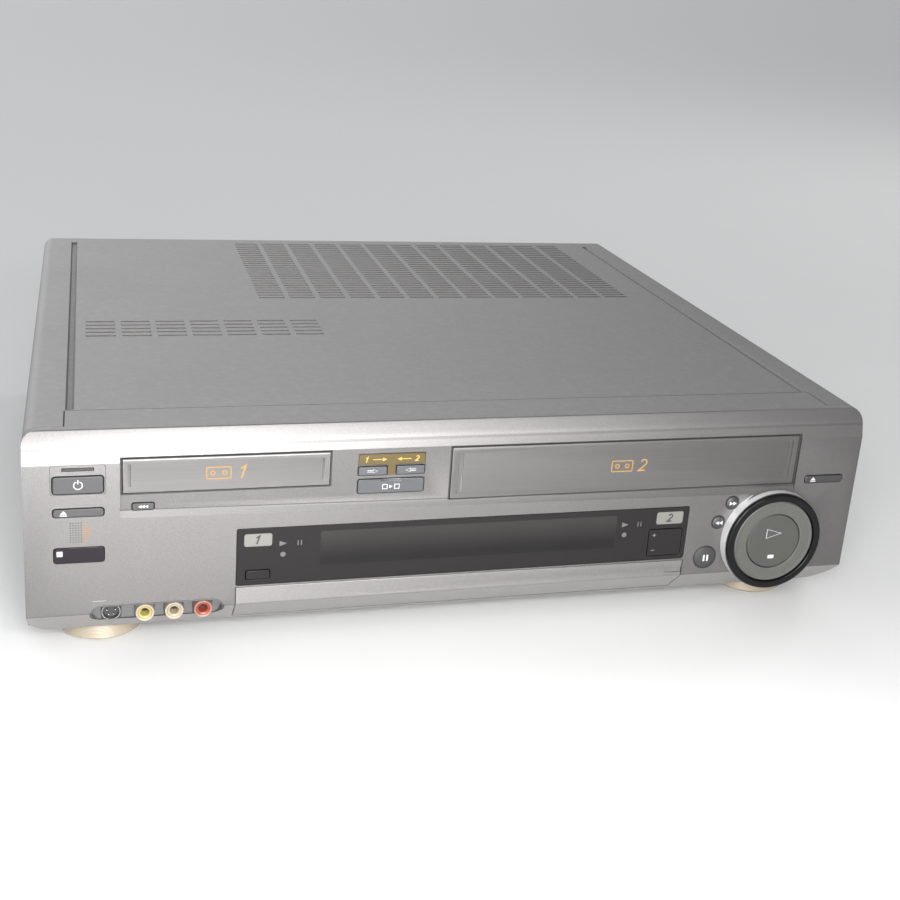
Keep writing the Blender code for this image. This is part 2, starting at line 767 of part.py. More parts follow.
def sunk_zone():
    """Cutter of the shallow zone round the doors; its lower edge runs down to the right and slopes out."""
    left = SMALL_DOOR_LEFT - ZONE_MARGIN
    right = LARGE_DOOR_RIGHT + ZONE_MARGIN
    top = below_top(DOOR_DROP) + ZONE_MARGIN
    flare = ZONE_SLOPE_HEIGHT * (ZONE_DEPTH + OVERRUN) / ZONE_DEPTH
    form = bmesh.new()
    bmesh.ops.create_cube(form, size=1)
    for corner in form.verts:
        sign_x, sign_y, sign_z = corner.co
        low = below_top(ZONE_RIGHT_DROP if sign_x > 0 else ZONE_LEFT_DROP)
        if sign_y < 0:
            low -= flare
        corner.co = (right if sign_x > 0 else left,
                     FACE - OVERRUN if sign_y < 0 else ZONE_FLOOR,
                     top if sign_z > 0 else low)
    data = bpy.data.meshes.new("sunk_zone")
    form.to_mesh(data)
    form.free()
    return as_object("sunk_zone", data)


def label_outline(grow=0):
    """T-shaped outline of the plate over the dubbing keys."""
    head = DUBBING_WIDTH / 2 + grow
    stem = LABEL_STEM_WIDTH / 2 + grow
    top = below_top(LABEL_DROP) + grow
    shoulder = below_top(LABEL_DROP + LABEL_HEAD_HEIGHT) - grow
    foot = below_top(LABEL_STEM_DROP) - grow
    end = shoulder + LABEL_TAPER
    return [(DUBBING_X + u, v) for u, v in (
        (-stem, foot), (stem, foot), (stem, shoulder), (head, end),
        (head, top), (-head, top), (-head, end), (-stem, shoulder))]


def window_outline(grow=0):
    return rectangle(WINDOW_LEFT - grow, WINDOW_RIGHT + grow, WINDOW_LOW - grow, WINDOW_TOP + grow,
                     max(WINDOW_RADIUS + grow, 0))


def door_outlines(grow=0):
    """Front outlines of the small and the large cassette door."""
    top = below_top(DOOR_DROP)
    return [
        rectangle(SMALL_DOOR_LEFT - grow, SMALL_DOOR_RIGHT + grow,
                  top - SMALL_DOOR_HEIGHT - grow, top + grow),
        rectangle(LARGE_DOOR_LEFT - grow, LARGE_DOOR_RIGHT + grow,
                  top - LARGE_DOOR_HEIGHT - grow, top + grow),
    ]


def pod_outline(grow=0):
    left = from_left(POD_IN) - grow
    top = below_top(POD_DROP) + grow
    return rectangle(left, left + POD_WIDTH + 2 * grow, top - POD_HEIGHT - 2 * grow, top,
                     POD_RADIUS + grow, ARC_STEPS)


def lamp_outline(grow=0):
    return key_outline(LEFT_COLUMN, LAMP_DROP, LAMP_WIDTH, LAMP_HEIGHT, 0, grow)


def infrared_outline(grow=0):
    return key_outline(LEFT_COLUMN, IR_DROP, KEY_WIDTH, IR_HEIGHT, KEY_RADIUS, grow)


def flap_key_outline(x, grow=0):
    return key_outline(x, FLAP_KEY_DROP, FLAP_KEY_WIDTH, FLAP_KEY_HEIGHT, FLAP_KEY_RADIUS, grow)


def panel_boss():
    """The dial's boss: a tube with a web across it, open to the front and hollow behind."""
    web_back = -BOSS_FLOOR - BOSS_WEB
    profile = [
        (0, -BOSS_FLOOR), (BOSS_BORE_RADIUS, -BOSS_FLOOR), (BOSS_BORE_RADIUS, BOSS_STAND),
        (BOSS_RADIUS, BOSS_STAND), (BOSS_RADIUS, -BOSS_DEPTH), (BOSS_BORE_RADIUS, -BOSS_DEPTH),
        (BOSS_BORE_RADIUS, web_back), (0, web_back),
    ]
    return turned("panel_boss", profile, DIAL_STEPS, (DIAL_X, FACE, DIAL_Z), "FRONT")


def flap_backing():
    """Thicker wall round the pocket that the flap closes."""
    outer = PANEL_WALL - LIP_SHEET / 2
    inner = FLAP_POCKET_DEPTH + FLAP_BACKING
    side = [
        (FACE + outer, WINDOW_LOW), (FACE + inner, WINDOW_LOW), bent_inside(inner),
        chamfer_point(CHAMFER_LENGTH, inner), chamfer_point(CHAMFER_LENGTH, outer), bent_inside(outer),
    ]
    return prism("flap_backing", [side], "X", WINDOW_LEFT - FLAP_BACKING, WINDOW_RIGHT + FLAP_BACKING)


def flap_pocket():
    """Cutter of the pocket that the flap closes."""
    end = CHAMFER_LENGTH - FLAP_END_MARGIN + GAP
    top = below_top(FLAP_DROP) + FLAP_POCKET_TOP_GAP
    end_y, end_z = chamfer_point(end, -OVERRUN)
    side = [
        (FACE - OVERRUN, top), (FACE + FLAP_POCKET_DEPTH, top), bent_inside(FLAP_POCKET_DEPTH),
        chamfer_point(end, FLAP_POCKET_DEPTH), (end_y, end_z), (FACE - OVERRUN, end_z),
    ]
    return prism("flap_pocket", [side], "X", WINDOW_LEFT - FLAP_SIDE_GAP, WINDOW_RIGHT + FLAP_SIDE_GAP)


def front_panel():
    front = rounded([
        (-HALF, BASE, PANEL_LOWER_RADIUS), (HALF, BASE, PANEL_LOWER_RADIUS),
        (HALF, HEIGHT, PANEL_UPPER_RADIUS), (-HALF, HEIGHT, PANEL_UPPER_RADIUS)], ARC_STEPS)
    panel = prism("front_panel", [panel_side(PANEL_SIDE_RUN)], "X", -HALF - OVERRUN, HALF + OVERRUN)
    keep(panel, prism("panel_front", [front], "Y", FACE - OVERRUN, CHAMFER_END + PANEL_SIDE_RUN + OVERRUN))
    boss_seat = disc(DIAL_X, DIAL_Z, (BOSS_RADIUS + BOSS_BORE_RADIUS) / 2, BOSS_SEAT_STEPS)
    cut(panel, panel_hollow(),
        prism("boss_seat", [boss_seat], "Y", FACE - OVERRUN, FACE + BOSS_DEPTH + OVERRUN))
    tongue = HALF - TONGUE_IN
    lip = HALF - LIP_IN
    join(panel,
         block("tongue", (-tongue, SIDE_BACK - OVERRUN, HEIGHT - TONGUE_SHEET),
               (tongue, behind(TONGUE_BACK), HEIGHT)),
         block("lip", (-lip, CHAMFER_END + LIP_SHEET, BASE), (lip, behind(LIP_BACK), BASE + LIP_SHEET)),
         flap_backing(),
         panel_boss())
    through = [key_outline(*values[:5], KEY_CLEARANCE) for values in PANEL_KEYS.values()]
    through += [disc(x, z, radius + KEY_CLEARANCE, KEY_STEPS) for x, z, radius in ROUND_KEYS.values()]
    through += [lamp_outline(GAP), infrared_outline(GAP), window_outline(-WINDOW_LEDGE)]
    through += door_outlines(DOOR_CLEARANCE)
    flap_holes = [flap_key_outline(x, KEY_CLEARANCE) for x in FLAP_KEYS.values()]
    flap_back = FACE + FLAP_POCKET_DEPTH + FLAP_BACKING
    cut(panel, sunk_zone(),
        prism("panel_openings", through, "Y", FACE - OVERRUN, FACE + PANEL_WALL + FLAP_BACKING),
        prism("window_seat", [window_outline(GAP)], "Y", FACE - OVERRUN, FACE + WINDOW_THICKNESS + GAP),
        prism("label_seat", [label_outline(GAP)], "Y", FACE - OVERRUN, ZONE_FLOOR + LABEL_SEAT + GAP),
        flap_pocket(),
        prism("flap_key_holes", flap_holes, "Y", FACE - OVERRUN, flap_back + OVERRUN),
        prism("pod_opening", [pod_outline()], "Y", FACE - OVERRUN, FACE + POD_FLOOR + BOSS_DEPTH))
    return part(panel, "front_panel", SILVER_PLASTIC)


# Cover, tray, rear panel and feet

def vent_outlines():
    """Slots of both vent fields, as outlines in the cover's plane."""
    width = VENT_LENGTH / 2
    big_left = from_right(BIG_VENT_RIGHT_IN) - VENT_PITCH * (BIG_VENT_COLUMNS - 1) - VENT_LENGTH
    fields = (
        (big_left, BIG_VENT_FRONT, BIG_VENT_COLUMNS, BIG_VENT_ROWS, BIG_VENT_ROW_PITCH),
        (from_left(SMALL_VENT_LEFT_IN), SMALL_VENT_FRONT, SMALL_VENT_COLUMNS, SMALL_VENT_ROWS,
         SMALL_VENT_ROW_PITCH),
    )
    slots = []
    for left, front, columns, rows, row_pitch in fields:
        for column in range(columns):
            for row in range(rows):
                x = left + VENT_PITCH * column + width
                y = behind(front + row_pitch * row)
                slots.append(rectangle(x - width, x + width, y, y + VENT_WIDTH))
    return slots


def top_cover():
    """Sheet bent down at both sides, notched for the panel's tongue, grooved and slotted."""
    inner = HALF - COVER_SHEET
    inner_radius = COVER_RADIUS - COVER_SHEET
    section = rounded([
        (-HALF, BASE, 0), (-inner, BASE, 0), (-inner, COVER_UNDER, inner_radius),
        (inner, COVER_UNDER, inner_radius), (inner, BASE, 0), (HALF, BASE, 0),
        (HALF, HEIGHT, COVER_RADIUS), (-HALF, HEIGHT, COVER_RADIUS)], ARC_STEPS)
    cover = prism("top_cover", [section], "Y", SIDE_BACK + GAP, BACK)
    notch = HALF - TONGUE_IN + GAP
    notch_back = behind(TONGUE_BACK) + GAP
    slant = PANEL_SIDE_RUN + GAP * CHAMFER_LENGTH / CHAMFER_RISE
    corner = [
        (SIDE_BACK - OVERRUN, chamfer_z(SIDE_BACK - OVERRUN, slant)),
        (chamfer_y(BASE - OVERRUN, slant), BASE - OVERRUN),
        (SIDE_BACK - OVERRUN, BASE - OVERRUN),
    ]

    def groove(side, sign):
        outer = sign * (HALF - TONGUE_IN)
        inside = outer - sign * GROOVE_WIDTH
        return block(f"{side}_groove",
                     (min(outer, inside), notch_back - OVERRUN, HEIGHT - GROOVE_DEPTH),
                     (max(outer, inside), BACK - GROOVE_BACK_MARGIN, HEIGHT + OVERRUN))

    cut(cover,
        block("tongue_notch", (-notch, SIDE_BACK - OVERRUN, COVER_UNDER - OVERRUN),
              (notch, notch_back, HEIGHT + OVERRUN)),
        prism("front_corners", [corner], "X", -HALF - OVERRUN, HALF + OVERRUN),
        *mirrored_pair(groove),
        prism("vents", vent_outlines(), "Z", COVER_UNDER - OVERRUN, HEIGHT + OVERRUN))
    return part(cover, "top_cover", PAINTED_STEEL)


TRAY_HALF = HALF - COVER_SHEET - GAP
REAR_FRONT = BACK - REAR_INSET - REAR_SHEET
REAR_FACE = BACK - REAR_INSET


def bottom_tray(posts):
    """Tray with upturned sides, and pressed posts that carry the main board."""
    inner = TRAY_HALF - TRAY_SHEET
    edge = BASE + TRAY_FLANGE
    section = [
        (-TRAY_HALF, BASE), (TRAY_HALF, BASE), (TRAY_HALF, edge), (inner, edge),
        (inner, TRAY_TOP), (-inner, TRAY_TOP), (-inner, edge), (-TRAY_HALF, edge),
    ]
    tray = prism("bottom_tray", [section], "Y", behind(LIP_BACK) + GAP, REAR_FRONT - GAP)
    low = BASE + TRAY_SHEET / 2
    for number, (x, y) in enumerate(posts):
        profile = [(0, MAIN_BOARD_LIFT), (POST_RADIUS, MAIN_BOARD_LIFT), (POST_RADIUS, 0), (0, 0)]
        join(tray, turned(f"board_post_{number}", profile, PIN_STEPS, (x, y, low)))
    return part(tray, "bottom_chassis", BARE_STEEL)


def terminal_opening(x, z, width, height, grow=0):
    """Outline of an opening, or of the plate that fills it, in the rear panel."""
    return rectangle(x - width / 2 - grow, x + width / 2 + grow, z - height / 2 - grow, z + height / 2 + grow)


TERMINALS = (TERMINAL_X, TERMINAL_Z, TERMINAL_WIDTH, TERMINAL_HEIGHT)
ANTENNA = (from_right(ANTENNA_IN), ANTENNA_Z, ANTENNA_WIDTH, ANTENNA_HEIGHT)
INLET = (from_left(INLET_IN), INLET_Z, INLET_WIDTH, INLET_HEIGHT)


def rear_panel():
    corner = COVER_RADIUS - COVER_SHEET
    top = COVER_UNDER - GAP
    plate = rounded([
        (-TRAY_HALF, BASE, 0), (TRAY_HALF, BASE, 0), (TRAY_HALF, top, corner), (-TRAY_HALF, top, corner)])
    openings = [terminal_opening(*place, GAP) for place in (TERMINALS, ANTENNA, INLET)]
    return part(prism("rear_panel", [plate, *openings], "Y", REAR_FRONT, REAR_FACE), "rear_panel", BARE_STEEL)


def foot(x, y):
    """Turned foot: a metal band stands out between a smaller sole and shoulder."""
    profile = [
        (0, FOOT_HEIGHT), (FOOT_SHOULDER_RADIUS, FOOT_HEIGHT), (FOOT_RADIUS, FOOT_BAND_HIGH),
        (FOOT_RADIUS, FOOT_BAND_LOW), (FOOT_SOLE_RADIUS, 0), (0, 0),
    ]
    return turned("foot", profile, FOOT_STEPS, (x, y, 0))


def feet():
    for row, y in (("front", behind(FOOT_FROM_FRONT)), ("rear", BACK - FOOT_FROM_BACK)):
        for side, x in (("left", from_left(FOOT_IN)), ("right", from_right(FOOT_IN))):
            part(foot(x, y), f"foot_{row}_{side}", GOLD_FOOT)


# Doors and flap

def cassette_door(name, left, right, height, grooves):
    """Door hung from its top edge, with thin upright grooves near both ends."""
    front = ZONE_FLOOR - DOOR_STAND
    back = front + DOOR_THICKNESS
    top = below_top(DOOR_DROP)
    low = top - height
    edge = DOOR_THICKNESS * DOOR_EDGE_SHARE
    section = rounded([(front, low, 0), (back, low, 0), (back, top, edge), (front, top, edge)])
    door = prism(name, [section], "X", left, right)
    for number in range(grooves):
        inset = DOOR_GROOVE_IN + DOOR_GROOVE_PITCH * number
        for side, x in (("left", left + inset), ("right", right - inset)):
            cut(door, block(f"{name}_{side}_groove_{number}",
                            (x - DOOR_GROOVE_WIDTH / 2, front - OVERRUN, low + DOOR_GROOVE_MARGIN),
                            (x + DOOR_GROOVE_WIDTH / 2, front + DOOR_GROOVE_DEPTH, top - DOOR_GROOVE_MARGIN)))
    pivot(door, ((left + right) / 2, (front + back) / 2, top - DOOR_THICKNESS / 2))
    return part(door, name, DARK_SILVER)


def cassette_doors():
    cassette_door("small_cassette_door", SMALL_DOOR_LEFT, SMALL_DOOR_RIGHT, SMALL_DOOR_HEIGHT, 1)
    cassette_door("large_cassette_door", LARGE_DOOR_LEFT, LARGE_DOOR_RIGHT, LARGE_DOOR_HEIGHT, 2)


def control_flap():
    """Flap bent like the panel, hung from its lower edge, with a finger notch at its upper right."""
    end = CHAMFER_LENGTH - FLAP_END_MARGIN
    top = below_top(FLAP_DROP)
    edge = FLAP_THICKNESS * DOOR_EDGE_SHARE
    section = rounded([
        (FACE, top, 0), (FACE, CREASE, PANEL_CREASE_RADIUS), (*chamfer_point(end, 0), edge),
        (*chamfer_point(end, FLAP_THICKNESS), edge), (*bent_inside(FLAP_THICKNESS), 0),
        (FACE + FLAP_THICKNESS, top, 0)])
    flap = prism("control_flap", [section], "X", WINDOW_LEFT, WINDOW_RIGHT)
    notch_top = below_top(FLAP_NOTCH_DROP)
    cut(flap, block("flap_notch",
                    (WINDOW_RIGHT - FLAP_NOTCH_WIDTH, FACE - OVERRUN, notch_top - FLAP_NOTCH_HEIGHT),
                    (WINDOW_RIGHT + OVERRUN, FACE + FLAP_NOTCH_DEPTH, notch_top)))
    hinge = chamfer_point(end - FLAP_THICKNESS / 2, FLAP_THICKNESS / 2)
    return part(pivot(flap, ((WINDOW_LEFT + WINDOW_RIGHT) / 2, *hinge)), "control_flap", SILVER_PLASTIC)


# Keys

def flat_key(name, outline, surface, stand, depth, finish):
    """Key whose top stands out of a surface and whose body goes back through the wall."""
    centre = sum(outline, Vector((0, 0))) / len(outline)
    key = prism(name, [outline], "Y", surface - stand, surface + depth)
    return part(pivot(key, (centre.x, surface, centre.y)), name, finish)


def round_key(name, x, z, radius):
    """Round key with a domed top."""
    dome = [(radius * sin(turn), KEY_STAND + ROUND_KEY_DOME * cos(turn))
            for turn in (pi / 2 * step / SMALL_ARC_STEPS for step in range(SMALL_ARC_STEPS + 1))]
    dome[0] = (0, KEY_STAND + ROUND_KEY_DOME)
    profile = [*dome, (radius, -KEY_DEPTH), (0, -KEY_DEPTH)]
    key = turned(name, profile, KEY_STEPS, (x, FACE, z), "FRONT")
    return part(pivot(key, (x, FACE, z)), name, DARK_SILVER)


def panel_keys():
    for name, (*outline, surface) in PANEL_KEYS.items():
        key = flat_key(name, key_outline(*outline), surface, KEY_STAND, KEY_DEPTH, DARK_SILVER)
        if name == "dubbing_start_button":
            x, drop = outline[:2]
            reach = DUBBING_WIDTH * DUBBING_SLOT_SHARE / 2
            mark = block("dubbing_slot",
                         (x - reach, surface - KEY_STAND - OVERRUN, below_top(drop) - DUBBING_SLOT_HEIGHT),
                         (x + reach, surface - KEY_STAND + DUBBING_SLOT_DEPTH, below_top(drop) + OVERRUN))
            cut(key, mark)
    for name, place in ROUND_KEYS.items():
        round_key(name, *place)
    for name, x in FLAP_KEYS.items():
        flat_key(name, flap_key_outline(x), FACE + FLAP_POCKET_DEPTH, FLAP_KEY_STAND, FLAP_KEY_DEPTH,
                 DARK_SILVER)


# Display window and what is set in it

def audio_outline(grow=0):
    return key_outline(WINDOW_LEFT + AUDIO_IN, AUDIO_DROP, AUDIO_WIDTH, AUDIO_HEIGHT, AUDIO_RADIUS, grow)


def rocker_outline(grow=0):
    return key_outline(WINDOW_RIGHT - ROCKER_IN, ROCKER_DROP, ROCKER_WIDTH, ROCKER_HEIGHT, ROCKER_RADIUS,
                       grow)


def display():
    outlines = [window_outline(), audio_outline(KEY_CLEARANCE), rocker_outline(KEY_CLEARANCE)]
    part(prism("display_window", outlines, "Y", FACE, FACE + WINDOW_THICKNESS), "display_window",
         SMOKED_WINDOW)
    flat_key("audio_select_button", audio_outline(), FACE, KEY_STAND / 2, KEY_DEPTH, BLACK_GLOSS)
    rocker = flat_key("channel_rocker", rocker_outline(), FACE, KEY_STAND / 2, ROCKER_THICKNESS, BLACK_GLOSS)
    rocker.data.transform(Matrix.Translation((0, -ROCKER_THICKNESS / 2, 0)))
    rocker.location.y += ROCKER_THICKNESS / 2
    tube_front = FACE + WINDOW_THICKNESS + GAP
    tube_left = WINDOW_LEFT + TUBE_IN
    tube_top = below_top(TUBE_DROP)
    board_front = tube_front + TUBE_DEPTH
    board = block("display_board",
                  (WINDOW_LEFT + DISPLAY_BOARD_MARGIN, board_front, WINDOW_LOW + DISPLAY_BOARD_MARGIN),
                  (WINDOW_RIGHT - DISPLAY_BOARD_MARGIN, board_front + BOARD_THICKNESS,
                   WINDOW_TOP - DISPLAY_BOARD_MARGIN))
    join(board, block("display_tube", (tube_left, tube_front, tube_top - TUBE_HEIGHT),
                      (WINDOW_RIGHT - TUBE_RIGHT_IN, board_front + BOARD_THICKNESS / 2, tube_top)))
    part(board, "display_board", GREEN_BOARD)


def small_front_pieces():
    """Lamp, infrared window and the label over the dubbing keys."""
    lamp = prism("power_lamp", [lamp_outline()], "Y", FACE - IR_STAND, FACE + IR_DEPTH)
    part(lamp, "power_lamp", RED_LAMP)
    window = prism("infrared_window", [infrared_outline()], "Y", FACE - IR_STAND, FACE + IR_DEPTH)
    part(window, "infrared_window", VIOLET_WINDOW)
    back = ZONE_FLOOR + LABEL_SEAT
    label = prism("dubbing_label", [label_outline()], "Y", back - LABEL_THICKNESS, back)
    part(label, "dubbing_label", BROWN_LABEL)


# Dial

def dial():
    """Black ring on the boss, sprung shuttle ring inside it and the play and stop disc in the middle."""
    centre = (DIAL_X, FACE, DIAL_Z)
    low = BOSS_STAND + GAP
    bezel = [
        (BEZEL_BORE_RADIUS, DIAL_STAND), (BEZEL_RADIUS - BEZEL_ROUNDING, DIAL_STAND),
        (BEZEL_RADIUS, DIAL_STAND - BEZEL_ROUNDING), (BEZEL_RADIUS, low), (BEZEL_BORE_RADIUS, low),
    ]
    part(turned("dial_bezel_ring", bezel, DIAL_STEPS, centre, "FRONT", ring=True), "dial_bezel_ring",
         BLACK_GLOSS)
    floor = GAP - BOSS_FLOOR
    shuttle = [
        (SHUTTLE_BORE_RADIUS, SHUTTLE_STAND - SHUTTLE_EDGE),
        (SHUTTLE_BORE_RADIUS + SHUTTLE_EDGE, SHUTTLE_STAND),
        ((SHUTTLE_BORE_RADIUS + SHUTTLE_RADIUS) / 2, SHUTTLE_STAND - SHUTTLE_DISH),
        (SHUTTLE_RADIUS - SHUTTLE_EDGE, SHUTTLE_STAND),
        (SHUTTLE_RADIUS, SHUTTLE_STAND - SHUTTLE_EDGE),
        (SHUTTLE_RADIUS, floor), (SHUTTLE_BORE_RADIUS, floor),
    ]
    ring = turned("shuttle_ring", shuttle, DIAL_STEPS, centre, "FRONT", ring=True)
    part(pivot(ring, centre), "shuttle_ring", SILVER_PLASTIC)
    face = [
        (0, DISC_STAND - DISC_DISH), (DISC_RADIUS - DISC_EDGE, DISC_STAND),
        (DISC_RADIUS, DISC_STAND - DISC_EDGE), (DISC_RADIUS, DISC_LIFT), (0, DISC_LIFT),
    ]
    middle = turned("play_stop_button", face, DIAL_STEPS, centre, "FRONT")
    rocks_about = (DIAL_X, FACE - (DISC_STAND + DISC_LIFT) / 2, DIAL_Z)
    part(pivot(middle, rocks_about), "play_stop_button", SILVER_PLASTIC)


# Front sockets

JACK_Z = below_top(POD_DROP) - POD_HEIGHT / 2
POD_BACK = FACE + POD_FLOOR
JACKS = {
    "video_jack": (from_left(FIRST_JACK_IN), YELLOW_JACK),
    "audio_jack_left": (from_left(FIRST_JACK_IN + JACK_PITCH), WHITE_JACK),
    "audio_jack_right": (from_left(FIRST_JACK_IN + JACK_PITCH * 2), RED_JACK),
}


def jack_holder():
    """Cup that lines the pod's opening and carries the sockets on its floor."""
    cup = prism("jack_holder", [pod_outline(-GAP)], "Y", FACE + GAP, POD_BACK + HOLDER_THICKNESS)
    slant = GAP * CHAMFER_LENGTH / CHAMFER_RISE
    above, below = CREASE + OVERRUN, BASE - OVERRUN
    outside = [
        (chamfer_y(above, slant), above), (chamfer_y(below, slant), below),
        (FACE - OVERRUN * 2, below), (FACE - OVERRUN * 2, above),
    ]
    places = [from_left(S_VIDEO_IN)] + [x for x, finish in JACKS.values()]
    stems = [disc(x, JACK_Z, JACK_STEM_RADIUS + GAP, JACK_STEPS) for x in places]
    cut(cup,
        prism("pod_room", [pod_outline(-GAP - POD_SHEET)], "Y", FACE - OVERRUN, POD_BACK),
        prism("pod_chamfer", [outside], "X", -HALF, HALF),
        prism("stem_holes", stems, "Y", POD_BACK - OVERRUN, POD_BACK + HOLDER_THICKNESS + OVERRUN))
    return part(cup, "jack_holder", DARK_SILVER)


def socket(name, x, radius, rim, throat, bore, stand, bore_depth, finish):
    """Turned socket: a rimmed barrel with a blind bore, on a stem that goes through the holder."""
    profile = [
        (0, stand - bore_depth), (bore, stand - bore_depth), (bore, stand - rim), (throat, stand - rim),
        (throat, stand), (radius - rim, stand), (radius, stand - rim), (radius, GAP),
        (JACK_STEM_RADIUS, GAP), (JACK_STEM_RADIUS, -JACK_STEM_DEPTH), (0, -JACK_STEM_DEPTH),
    ]
    return part(turned(name, profile, JACK_STEPS, (x, POD_BACK, JACK_Z), "FRONT"), name, finish)


def front_sockets():
    jack_holder()
    socket("s_video_socket", from_left(S_VIDEO_IN), S_VIDEO_RADIUS, JACK_RIM, S_VIDEO_BORE_RADIUS,
           S_VIDEO_BORE_RADIUS - JACK_RIM, S_VIDEO_STAND, S_VIDEO_BORE_DEPTH, BLACK_PLASTIC)
    for name, (x, finish) in JACKS.items():
        socket(name, x, JACK_RADIUS, JACK_RIM, JACK_THROAT_RADIUS, JACK_BORE_RADIUS, JACK_STAND,
               JACK_BORE_DEPTH, finish)


# Terminals at the back

def terminal_board():
    """Plate of line sockets, in rows and columns, behind the rear panel's opening."""
    x, z, width, height = TERMINALS
    board = prism("rear_terminal_board", [terminal_opening(*TERMINALS)], "Y", REAR_FACE - TERMINAL_SHEET,
                  REAR_FACE)
    reach = BACK + TERMINAL_REACH - REAR_FACE
    profile = [
        (0, reach - TERMINAL_BORE_DEPTH), (JACK_BORE_RADIUS, reach - TERMINAL_BORE_DEPTH),
        (JACK_BORE_RADIUS, reach), (JACK_RADIUS, reach), (JACK_RADIUS, -TERMINAL_SHEET / 2),
        (0, -TERMINAL_SHEET / 2),
    ]
    for column in range(TERMINAL_COLUMNS):
        for row in range(TERMINAL_ROWS):
            centre = (x + TERMINAL_COLUMN_PITCH * (column - (TERMINAL_COLUMNS - 1) / 2), REAR_FACE,
                      z + TERMINAL_ROW_PITCH * (row - (TERMINAL_ROWS - 1) / 2))
            join(board, turned(f"line_socket_{column}_{row}", profile, PIN_STEPS, centre, "BACK"))
    return part(board, "rear_terminal_board", BLACK_PLASTIC)


def antenna_block():
    """Shielded block with an input and an output stem."""
    x, z, width, height = ANTENNA
    block_back = REAR_FACE
    body = block("antenna_block", (x - width / 2, block_back - ANTENNA_DEPTH, z - height / 2),
                 (x + width / 2, block_back, z + height / 2))
    reach = BACK + TERMINAL_REACH - REAR_FACE - GAP
    profile = [
        (0, reach - TERMINAL_BORE_DEPTH), (ANTENNA_PIN_BORE, reach - TERMINAL_BORE_DEPTH),
        (ANTENNA_PIN_BORE, reach), (ANTENNA_STEM_RADIUS, reach), (ANTENNA_STEM_RADIUS, -TERMINAL_SHEET),
        (0, -TERMINAL_SHEET),
    ]
    for side, sign in (("left", -1), ("right", 1)):
        centre = (x + sign * ANTENNA_STEM_PITCH / 2, REAR_FACE, z)
        join(body, turned(f"antenna_stem_{side}", profile, JACK_STEPS, centre, "BACK"))
    return part(body, "antenna_block", BARE_STEEL)


def mains_inlet():
    """Inlet with a well and two pins, set in the rear panel."""
    x, z, width, height = INLET
    body = block("mains_inlet", (x - width / 2, REAR_FACE - INLET_DEPTH, z - height / 2),
                 (x + width / 2, REAR_FACE + INLET_FLANGE, z + height / 2))
    floor = REAR_FACE + INLET_FLANGE - INLET_WELL_DEPTH
    well = rectangle(x - INLET_WELL_WIDTH / 2, x + INLET_WELL_WIDTH / 2, z - INLET_WELL_HEIGHT / 2,
                     z + INLET_WELL_HEIGHT / 2, INLET_WELL_HEIGHT * DOOR_EDGE_SHARE, ARC_STEPS)
    cut(body, prism("inlet_well", [well], "Y", floor, REAR_FACE + INLET_FLANGE + OVERRUN))
    pins = [disc(x + sign * INLET_PIN_PITCH / 2, z, INLET_PIN_RADIUS, PIN_STEPS) for sign in (-1, 1)]
    join(body, prism("inlet_pins", pins, "Y", floor - OVERRUN, REAR_FACE))
    return part(body, "mains_inlet", BLACK_PLASTIC)


# Decks

Deck = namedtuple("Deck", (
    "name centre slot_floor cassette_width cassette_depth cassette_height front travel_in travel_down lip "
    "plate_z reel_pitch reel_radius reel_table spindle_radius spindle_height drum_radius drum_split "
    "drum_upper drum_space capstan_radius capstan_height"))

LARGE_DECK = Deck(
    "large", (LARGE_DOOR_LEFT + LARGE_DOOR_RIGHT) / 2,
    below_top(DOOR_DROP) - LARGE_DOOR_HEIGHT + CASSETTE_PLAY, LARGE_CASSETTE_WIDTH, LARGE_CASSETTE_DEPTH,
    LARGE_CASSETTE_HEIGHT, LARGE_CARRIAGE_FRONT, LARGE_TRAVEL_IN, LARGE_TRAVEL_DOWN, LARGE_LIP,
    below_top(LARGE_DECK_DROP), LARGE_REEL_PITCH, LARGE_REEL_RADIUS, LARGE_REEL_TABLE, LARGE_SPINDLE_RADIUS,
    LARGE_SPINDLE_HEIGHT, LARGE_DRUM_RADIUS, LARGE_DRUM_SPLIT, LARGE_DRUM_UPPER, LARGE_DRUM_SPACE,
    LARGE_CAPSTAN_RADIUS, LARGE_CAPSTAN_HEIGHT)
SMALL_DECK = Deck(
    "small", (SMALL_DOOR_LEFT + SMALL_DOOR_RIGHT) / 2,
    below_top(DOOR_DROP) - SMALL_DOOR_HEIGHT + CASSETTE_PLAY, SMALL_CASSETTE_WIDTH, SMALL_CASSETTE_DEPTH,
    SMALL_CASSETTE_HEIGHT, SMALL_CARRIAGE_FRONT, SMALL_TRAVEL_IN, SMALL_TRAVEL_DOWN, SMALL_LIP,
    below_top(SMALL_DECK_DROP), SMALL_REEL_PITCH, SMALL_REEL_RADIUS, SMALL_REEL_TABLE, SMALL_SPINDLE_RADIUS,
    SMALL_SPINDLE_HEIGHT, SMALL_DRUM_RADIUS, SMALL_DRUM_SPLIT, SMALL_DRUM_UPPER, SMALL_DRUM_SPACE,
    SMALL_CAPSTAN_RADIUS, SMALL_CAPSTAN_HEIGHT)


def carriage_half(deck):
    """Half the outer width of a deck's carriage."""
    return deck.cassette_width / 2 + CASSETTE_PLAY + CARRIAGE_SHEET


def carriage_depth(deck):
    return deck.cassette_depth + CASSETTE_PLAY * 2


def carriage_roof(deck):
    """Height of the carriage's top side."""
    return deck.slot_floor + deck.cassette_height + CASSETTE_PLAY * 2 + CARRIAGE_SHEET


def loaded_back(deck):
    """Y of the carriage's back edge when a cassette is loaded."""
    return behind(deck.front + deck.travel_in) + carriage_depth(deck)


def deck_half(deck):
    """Half the outer width of a deck's chassis."""
    return carriage_half(deck) + CARRIAGE_SIDE_GAP + GUIDE_SHEET


def drum_centre(deck):
    return deck.centre, loaded_back(deck) + deck.drum_space + deck.drum_radius


